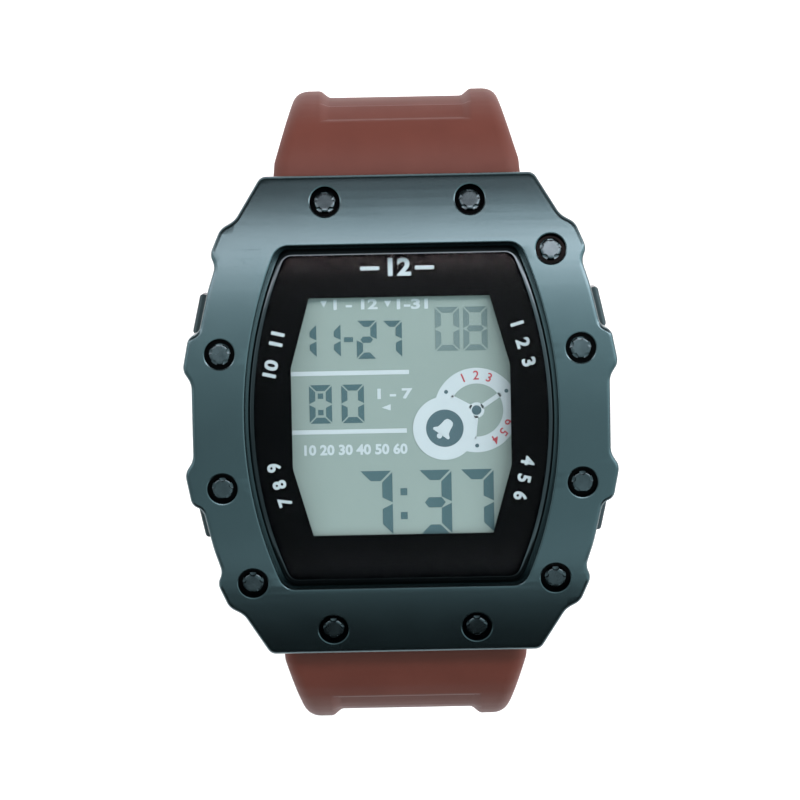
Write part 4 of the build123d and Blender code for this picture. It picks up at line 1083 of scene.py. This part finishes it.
@dataclass
class StrapHalf:
    """One silicone half, modelled flat with its channel and holes and then rolled round its bends.

    It is made at twelve o'clock and mirrored if it hangs at six. Along the flat blank, Y is the
    distance from the spring bar over the band's middle surface, and Z is the height over it.
    """

    name: str
    body: str
    node: str
    y_sign: int
    lean: float
    side_length: float
    end_angle: float
    end_length: float
    channel_end: float
    thickness: float = 2.8
    bar_y: float = 21.0
    bar_z: float = 3.7
    eye_radius: float = 2.17
    eye_sides: int = 50
    bar_hole: float = 0.94
    bend_y: float = 22.5
    bend_z: float = -4.1
    bend_radius: float = 8.6
    corner_radius: float = 15.6
    edge: float = 1.2
    edge_spread: float = 1.35
    channel_half: float = 7.8
    channel_start: float = 7.9
    channel_step: float = 10.4
    channel_wall: float = 1.2
    channel_ramp: float = 0.7
    depths: tuple[float, float] = (0.36, 0.34)
    pitch: float = 0.7
    wall_slices: int = 6
    half_at_case: float = 12.25
    shoulder: float = 12.65
    shoulder_start: float = 23.9
    shoulder_end: float = 24.2
    limb_y: float = 32.6
    limb_half: float = 10.45

    def corner(self) -> PlanPoint:
        """Give the lower bend's centre."""
        turn = math.radians(self.lean)
        gap = self.corner_radius - self.bend_radius
        y = self.bend_y - gap * math.cos(turn) - self.side_length * math.sin(turn)
        return (y, self.bend_z + gap * math.sin(turn) - self.side_length * math.cos(turn))

    def bend_length(self) -> float:
        """Give the upper bend's length."""
        return self.bend_radius * math.radians(90 + self.lean)

    def corner_length(self) -> float:
        """Give the lower bend's length."""
        return self.corner_radius * math.radians(self.end_angle - self.lean)

    def length(self) -> float:
        """Give the blank's whole length."""
        lead = self.bend_y - self.bar_y
        return lead + self.bend_length() + self.side_length + self.corner_length() + self.end_length

    def spine(self, along: float) -> tuple[PlanPoint, float]:
        """Find a place on the middle surface.

        Args:
            along: Distance from the bar.

        Returns:
            The place in Y and Z, and the turn past the vertical in radians.
        """
        lead = self.bend_y - self.bar_y
        if along <= lead:
            return (self.bar_y + along, self.bend_z + self.bend_radius), -math.pi / 2
        along -= lead
        centre, radius, turn = (self.bend_y, self.bend_z), self.bend_radius, math.radians(self.lean)
        if along <= self.bend_length():
            turn = along / radius - math.pi / 2
            past = 0.0
        elif along <= self.bend_length() + self.side_length:
            past = along - self.bend_length()
        else:
            centre, radius = self.corner(), self.corner_radius
            turned = along - self.bend_length() - self.side_length
            past = max(0.0, turned - self.corner_length())
            turn += (turned - past) / radius
        y = centre[0] + radius * math.cos(turn) - past * math.sin(turn)
        z = centre[1] - radius * math.sin(turn) - past * math.cos(turn)
        return (y, z), turn

    def half_width(self, along: float) -> float:
        """Give the band's half width, which narrows over the bend and down the side."""
        (y, z), turn = self.spine(along)
        outer_y = y + self.thickness / 2 * math.cos(turn)
        past = (outer_y - self.shoulder_end) / (self.limb_y - self.shoulder_end)
        plan = self.shoulder - max(0.0, past) * (self.shoulder - self.limb_half)
        flare = (outer_y - self.shoulder_start) / (self.shoulder_end - self.shoulder_start)
        plan = min(plan, self.half_at_case + max(0.0, flare) * (self.shoulder - self.half_at_case))
        low = self.bend_z
        front = self.shoulder if z > low + 3 else 11.05 + max(0.0, z - low) * (self.shoulder - 11.05) / 3
        if z < low:
            front = max(9.3, 11.05 - (low - z) * (11.05 - 9.3) / 40.9)
        return min(plan, front)

    def outline(self) -> list[PlanPoint]:
        """Give the flat blank's plan, with a round tip on the half that has one."""
        count = int(self.length() / 1.4)
        steps = [self.length() * number / count for number in range(count + 1)]
        right = [(self.half_width(s), s) for s in steps]
        if self.end_angle == 90:
            tip = self.half_width(self.length())
            radius = 6.5
            right = [point for point in right if point[1] < self.length() - radius]
            for number in range(9):
                turn = math.pi / 2 * number / 8
                right.append((tip - radius + radius * math.cos(turn), self.length() - radius + radius * math.sin(turn)))
        return right + [(-x, y) for x, y in right[::-1]]

    def blank(self) -> bmesh.types.BMesh:
        """Make the flat band with both rims rounded."""
        band = rounded_block(self.outline(), 0, self.thickness / 2, self.edge, 7, self.edge_spread)
        foot = [face for face in band.faces if all(abs(vert.co.z) < 0.0001 for vert in face.verts)]
        bmesh.ops.delete(band, geom=foot, context="FACES_ONLY")
        bmesh.ops.mirror(band, geom=[*band.verts, *band.edges, *band.faces], axis="Z", merge_dist=0.001)
        bmesh.ops.recalc_face_normals(band, faces=band.faces)
        return band

    def sunk(self, x: float, y: float) -> float:
        """Give the channel's depth at a place on the flat blank.

        Args:
            x: Distance from the middle line.
            y: Distance along the blank.

        Returns:
            How far the top is lowered there.
        """
        depth = 0.0
        for start, step in zip((self.channel_start, self.channel_step), self.depths):
            ends = min(y - start, self.channel_end - y) / self.channel_ramp
            share = max(0.0, min(1.0, ends, (self.channel_half - abs(x)) / self.channel_wall))
            depth += step * share**2 * (3 - 2 * share)
        return depth

    def sink(self, shape: bmesh.types.BMesh) -> None:
        """Slice the flat blank finely and lower its top into the channel.

        Args:
            shape: The blank.
        """
        shares = [number / self.wall_slices for number in range(self.wall_slices + 1)]
        across = [side * (self.channel_half - self.channel_wall * share) for share in shares for side in (1, -1)]
        ramps = [self.channel_ramp * share for share in shares]
        along = [start + ramp for start in (self.channel_start, self.channel_step) for ramp in ramps]
        along += [self.channel_end - ramp for ramp in ramps]
        along += [number * self.pitch for number in range(1, int(self.length() / self.pitch) + 1)]
        for places, normal in ((across, Vector((1, 0, 0))), (along, Vector((0, 1, 0)))):
            for place in places:
                geometry = [*shape.verts, *shape.edges, *shape.faces]
                bmesh.ops.bisect_plane(shape, geom=geometry, dist=0.0001, plane_co=normal * place, plane_no=normal)
        for vert in shape.verts:
            if vert.co.z > 0:
                vert.co.z -= self.sunk(vert.co.x, vert.co.y) * vert.co.z * 2 / self.thickness

    def roll(self, shape: bmesh.types.BMesh) -> None:
        """Roll the flat blank round its bends.

        Args:
            shape: The blank.
        """
        for vert in shape.verts:
            (y, z), turn = self.spine(max(0.0, min(self.length(), vert.co.y)))
            height = vert.co.z
            vert.co.y = y + height * math.cos(turn)
            vert.co.z = z - height * math.sin(turn)

    def extra_cuts(self) -> list[bmesh.types.BMesh]:
        """Give cuts made while the blank is flat."""
        return []

    def ends(self, shape: bmesh.types.BMesh) -> bmesh.types.BMesh:
        """Add the eye round the spring bar and bore it.

        Args:
            shape: The rolled band.

        Returns:
            The band with its eye.
        """
        place = (self.bar_y, self.bar_z)
        eye = bar_shape(self.eye_radius, 12.16, place, self.eye_sides)
        shape = combine(shape, [eye], Joining.TOGETHER)
        return combine(shape, [bar_shape(self.bar_hole, 14.0, place)])

    def build(self) -> None:
        """Build the half and dress it."""
        shape = combine(self.blank(), self.extra_cuts())
        self.sink(shape)
        self.roll(shape)
        shape = self.ends(shape)
        if self.y_sign < 0:
            bmesh.ops.scale(shape, vec=(1, -1, 1), verts=shape.verts)
        piece = finish_piece(self.name, shape, SILICONE, self.body)
        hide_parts(self.node)


@dataclass
class HoleHalf(StrapHalf):
    """The half with the adjustment holes and the round tip."""

    hole_count: int = 8
    hole_first: float = 40.4
    hole_step: float = 6.0
    hole_radius: float = 1.1
    hole_half: float = 0.5

    def extra_cuts(self) -> list[bmesh.types.BMesh]:
        """Give the adjustment holes, with softened mouths."""
        holes = []
        for number in range(self.hole_count):
            middle = self.hole_first + number * self.hole_step
            ends = []
            for side, start in ((1, -90), (-1, 90)):
                for step in range(9):
                    turn = math.radians(start + 180 * step / 8)
                    ends.append(
                        (side * self.hole_half + self.hole_radius * math.cos(turn),
                         middle + self.hole_radius * math.sin(turn))
                    )
            holes.append(flared_cutter(ends, -self.thickness, self.thickness / 2, 0.25, 3))
        return [joined(holes)]


@dataclass
class BuckleHalf(StrapHalf):
    """The half with the buckle, which ends in an eye with a slot for the tongue."""

    pin_eye: float = 1.59
    pin_hole: float = 0.79
    slot_half: float = 1.45
    slot_radius: float = 2.65
    slot_reach: float = 3.3

    def ends(self, shape: bmesh.types.BMesh) -> bmesh.types.BMesh:
        """Add both eyes, bore them and cut the tongue's slot."""
        shape = StrapHalf.ends(self, shape)
        pin, _ = self.spine(self.length())
        shape = combine(shape, [bar_shape(self.pin_eye, 9.23, pin, self.eye_sides)], Joining.TOGETHER)
        slot = rounded_block(
            box_outline(-self.slot_half, pin[0] - self.slot_reach, self.slot_half, pin[0]),
            pin[1] - self.slot_reach, pin[1] + self.slot_reach, 0.01, 1,
        )
        return combine(shape, [bar_shape(self.pin_hole, 12.0, pin), slot, bar_shape(self.slot_radius, self.slot_half, pin)])


@dataclass
class Keepers:
    """The sliding keeper and the fixed one: rounded silicone loops round the buckle half."""

    half: BuckleHalf
    width: float = 4.8
    wall: float = 1.3
    gap: float = 0.25
    room: float = 3.2
    corner: float = 2.3
    free_place: float = 26.479
    free_half: float = 10.48
    fixed_place: float = 43.926
    fixed_half: float = 9.55

    def loop(self, name: str, node: str, body: str, along: float, half_width: float) -> None:
        """Build one keeper.

        Args:
            name: The piece's name.
            node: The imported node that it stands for.
            body: The body that carries it.
            along: Its middle's distance from the spring bar.
            half_width: Half the width of its opening.
        """
        low = self.half.thickness / 2 + self.gap
        high = self.half.thickness / 2 + self.room
        outer = self.rounded(half_width + self.wall, -low - self.wall, high + self.wall, self.corner)
        inner = self.rounded(half_width, -low, high, self.gap)
        ring = rounded_block(outer, 0, self.width / 2, 0.4, 4)
        foot = [face for face in ring.faces if all(abs(vert.co.z) < 0.0001 for vert in face.verts)]
        bmesh.ops.delete(ring, geom=foot, context="FACES_ONLY")
        bmesh.ops.mirror(ring, geom=[*ring.verts, *ring.edges, *ring.faces], axis="Z", merge_dist=0.001)
        bmesh.ops.recalc_face_normals(ring, faces=ring.faces)
        ring = combine(ring, [rounded_block(inner, -self.width, self.width, 0.01, 1)])
        (y, z), turn = self.half.spine(along)
        away = Vector((0, math.cos(turn), -math.sin(turn)))
        down = Vector((0, -math.sin(turn), -math.cos(turn)))
        frame = Matrix((Vector((1, 0, 0)), away, down)).transposed().to_4x4()
        bmesh.ops.transform(ring, matrix=Matrix.Translation((0, y, z)) @ frame, verts=ring.verts)
        piece = finish_piece(name, ring, SILICONE, body)
        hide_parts(node)

    @staticmethod
    def rounded(half_x: float, low_y: float, high_y: float, radius: float) -> list[PlanPoint]:
        """Give a rectangle with rounded corners, anticlockwise."""
        points = []
        for start, x, y in (
            (-90, half_x, low_y), (0, half_x, high_y), (90, -half_x, high_y), (180, -half_x, low_y)
        ):
            centre_x = x - math.copysign(radius, x)
            centre_y = y + radius if y == low_y else y - radius
            for step in range(7):
                turn = math.radians(start + 90 * step / 6)
                points.append((centre_x + radius * math.cos(turn), centre_y + radius * math.sin(turn)))
        return points

    def build(self) -> None:
        """Build both keepers."""
        bend_end = self.half.bend_y - self.half.bar_y + self.half.bend_length()
        self.loop("sliding_keeper", "free_keeper", "keeper", bend_end + self.free_place, self.free_half)
        self.loop("moulded_keeper", "fixed_keeper", "buckle_strap", bend_end + self.fixed_place, self.fixed_half)


@dataclass
class Strap:
    """Both halves and the keepers."""

    lean: float = 12.0
    buckle_side: float = 40.426
    buckle_angle: float = 55.0
    buckle_end: float = 2.5
    hole_side: float = 36.9
    tail: float = 12.0

    def build(self) -> None:
        """Build the strap."""
        buckle = BuckleHalf(
            "silicone_buckle_half", "buckle_strap", "strap_buckle_half", 1, self.lean, self.buckle_side,
            self.buckle_angle, self.buckle_end, 34.0,
        )
        buckle.build()
        HoleHalf(
            "silicone_hole_half", "hole_strap", "strap_hole_half", -1, 0.0, self.hole_side, 90.0, self.tail, 50.0
        ).build()
        Keepers(buckle).build()


def dress_carried_nodes(nodes: dict[str, bpy.types.Object]) -> None:
    """Give the nodes that keep their shape their finishes.

    Args:
        nodes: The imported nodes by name.
    """
    finishes = dict(CARRIED_NODES)
    for place in PLACES:
        finishes[f"{place}_pusher"] = PUSHER_PLASTIC
        finishes[f"{place}_pusher_clip"] = BRIGHT_STEEL
        finishes[f"{place}_pusher_seal"] = BLACK_RUBBER
        finishes[f"{place}_pusher_spring"] = BRIGHT_STEEL
        finishes[f"{place}_bar_tip"] = BRIGHT_STEEL
    for name, finish in finishes.items():
        piece = nodes[name]
        piece.data.materials.clear()
        piece.data.materials.append(Paint.of(finish))


@dataclass
class Studio:
    """The plain floor, the soft lights and the camera at the photograph's angle."""

    floor_z: float = -58.02
    floor_half: float = 900.0
    distance: float = 300.0
    tilt: float = math.radians(4.8)
    roll: float = math.radians(1.1)
    frame_width: float = 78.6
    aim_z: float = 13.4
    warm_bright: float = 0.06
    side_fall: tuple[float, float, float, float] = (-0.09, 0.09, 0.8, 1.5)
    sky: list[tuple[float, float]] = field(
        default_factory=lambda: [
            (-1.0, 0.0), (1.0, 0.12), (-0.66, 0.0), (-0.62, 0.03), (-0.58, 2.0), (-0.5, 0.9), (-0.1, 0.8),
            (0.29, 1.6), (0.39, 2.3), (0.44, 6.5), (0.49, 9.5), (0.52, 6.0), (0.55, 1.6), (0.58, 0.3),
            (0.63, 0.06),
        ]
    )
    lamps: list[tuple[str, tuple[float, float, float], float, float, float]] = field(
        default_factory=lambda: [
            ("left_light", (-560, 60, 300), 300, 220, 0.35),
            ("right_light", (560, 60, 300), 300, 220, 0.45),
        ]
    )
    shift_x: float = -0.1
    shift_y: float = 1.86

    def build_floor(self) -> None:
        """Lay the pale floor under the strap."""
        shape = bmesh.new()
        bmesh.ops.create_grid(shape, x_segments=8, y_segments=8, size=self.floor_half * MILLIMETRE)
        bmesh.ops.translate(shape, vec=(0, 0, self.floor_z * MILLIMETRE), verts=shape.verts)
        mesh = bpy.data.meshes.new("studio_floor")
        shape.to_mesh(mesh)
        shape.free()
        floor = bpy.data.objects.new("studio_floor", mesh)
        bpy.context.scene.collection.objects.link(floor)
        paper = Finish("pale_paper", linear(244, 244, 244), linear(250, 250, 250), 0.9, glow=0.28)
        mesh.materials.append(Paint.of(paper))

    def build_lights(self) -> None:
        """Hang the soft lights and set the pale surroundings."""
        world = bpy.data.worlds.new("studio")
        world.use_nodes = True
        nodes = world.node_tree.nodes
        links = world.node_tree.links
        background = nodes["Background"]
        place = nodes.new("ShaderNodeTexCoord")
        parts = nodes.new("ShaderNodeSeparateXYZ")
        links.new(place.outputs["Generated"], parts.inputs["Vector"])
        along = nodes.new("ShaderNodeMapRange")
        along.inputs["From Min"].default_value = -1.0
        links.new(parts.outputs["Y"], along.inputs["Value"])
        ramp = nodes.new("ShaderNodeValToRGB")
        stops = ramp.color_ramp.elements
        for number, (rise, level) in enumerate(self.sky):
            stop = stops[number] if number < 2 else stops.new((rise + 1) / 2)
            stop.position = (rise + 1) / 2
            warmth = 1 + self.warm_bright * max(0.0, level - 1)
            stop.color = (0.86 * level * warmth, 0.98 * level, level, 1.0)
        links.new(along.outputs["Result"], ramp.inputs["Fac"])
        links.new(ramp.outputs["Color"], background.inputs["Color"])
        side = nodes.new("ShaderNodeMapRange")
        for socket, value in zip(("From Min", "From Max", "To Min", "To Max"), self.side_fall):
            side.inputs[socket].default_value = value
        links.new(parts.outputs["X"], side.inputs["Value"])
        links.new(side.outputs["Result"], background.inputs["Strength"])
        bpy.context.scene.world = world
        bpy.context.scene.view_settings.view_transform = "Standard"
        for name, place, width, height, power in self.lamps:
            lamp = bpy.data.lights.new(name, "AREA")
            lamp.shape = "RECTANGLE"
            lamp.size = width * MILLIMETRE
            lamp.size_y = height * MILLIMETRE
            lamp.energy = power
            holder = bpy.data.objects.new(name, lamp)
            way = Vector(place) * MILLIMETRE
            holder.matrix_world = Matrix.Translation(way) @ way.to_track_quat("Z", "Y").to_matrix().to_4x4()
            bpy.context.scene.collection.objects.link(holder)

    def build_camera(self) -> None:
        """Set the camera above the dial, leaning towards twelve o'clock."""
        camera = bpy.data.cameras.new("photo_view")
        camera.lens_unit = "FOV"
        camera.sensor_fit = "HORIZONTAL"
        camera.angle = 2 * math.atan(self.frame_width / 2 / self.distance)
        holder = bpy.data.objects.new("photo_view", camera)
        aim = Vector((self.shift_x, self.shift_y, self.aim_z))
        reach = Vector((0, math.sin(self.tilt), math.cos(self.tilt))) * self.distance
        turn = Matrix.Rotation(-self.tilt, 4, "X") @ Matrix.Rotation(-self.roll, 4, "Z")
        holder.matrix_world = Matrix.Translation((aim + reach) * MILLIMETRE) @ turn
        bpy.context.scene.collection.objects.link(holder)
        bpy.context.scene.camera = holder

    def build(self) -> None:
        """Build the whole studio."""
        self.build_floor()
        self.build_lights()
        self.build_camera()


def main() -> None:
    """Load the frame, dress it and build the studio round it."""
    logging.basicConfig(level=logging.INFO, format="%(message)s")
    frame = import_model()
    dress_carried_nodes(frame["nodes"])
    Head().build()
    Display().build()
    Strap().build()
    Studio().build()


if __name__ == "__main__":
    main()
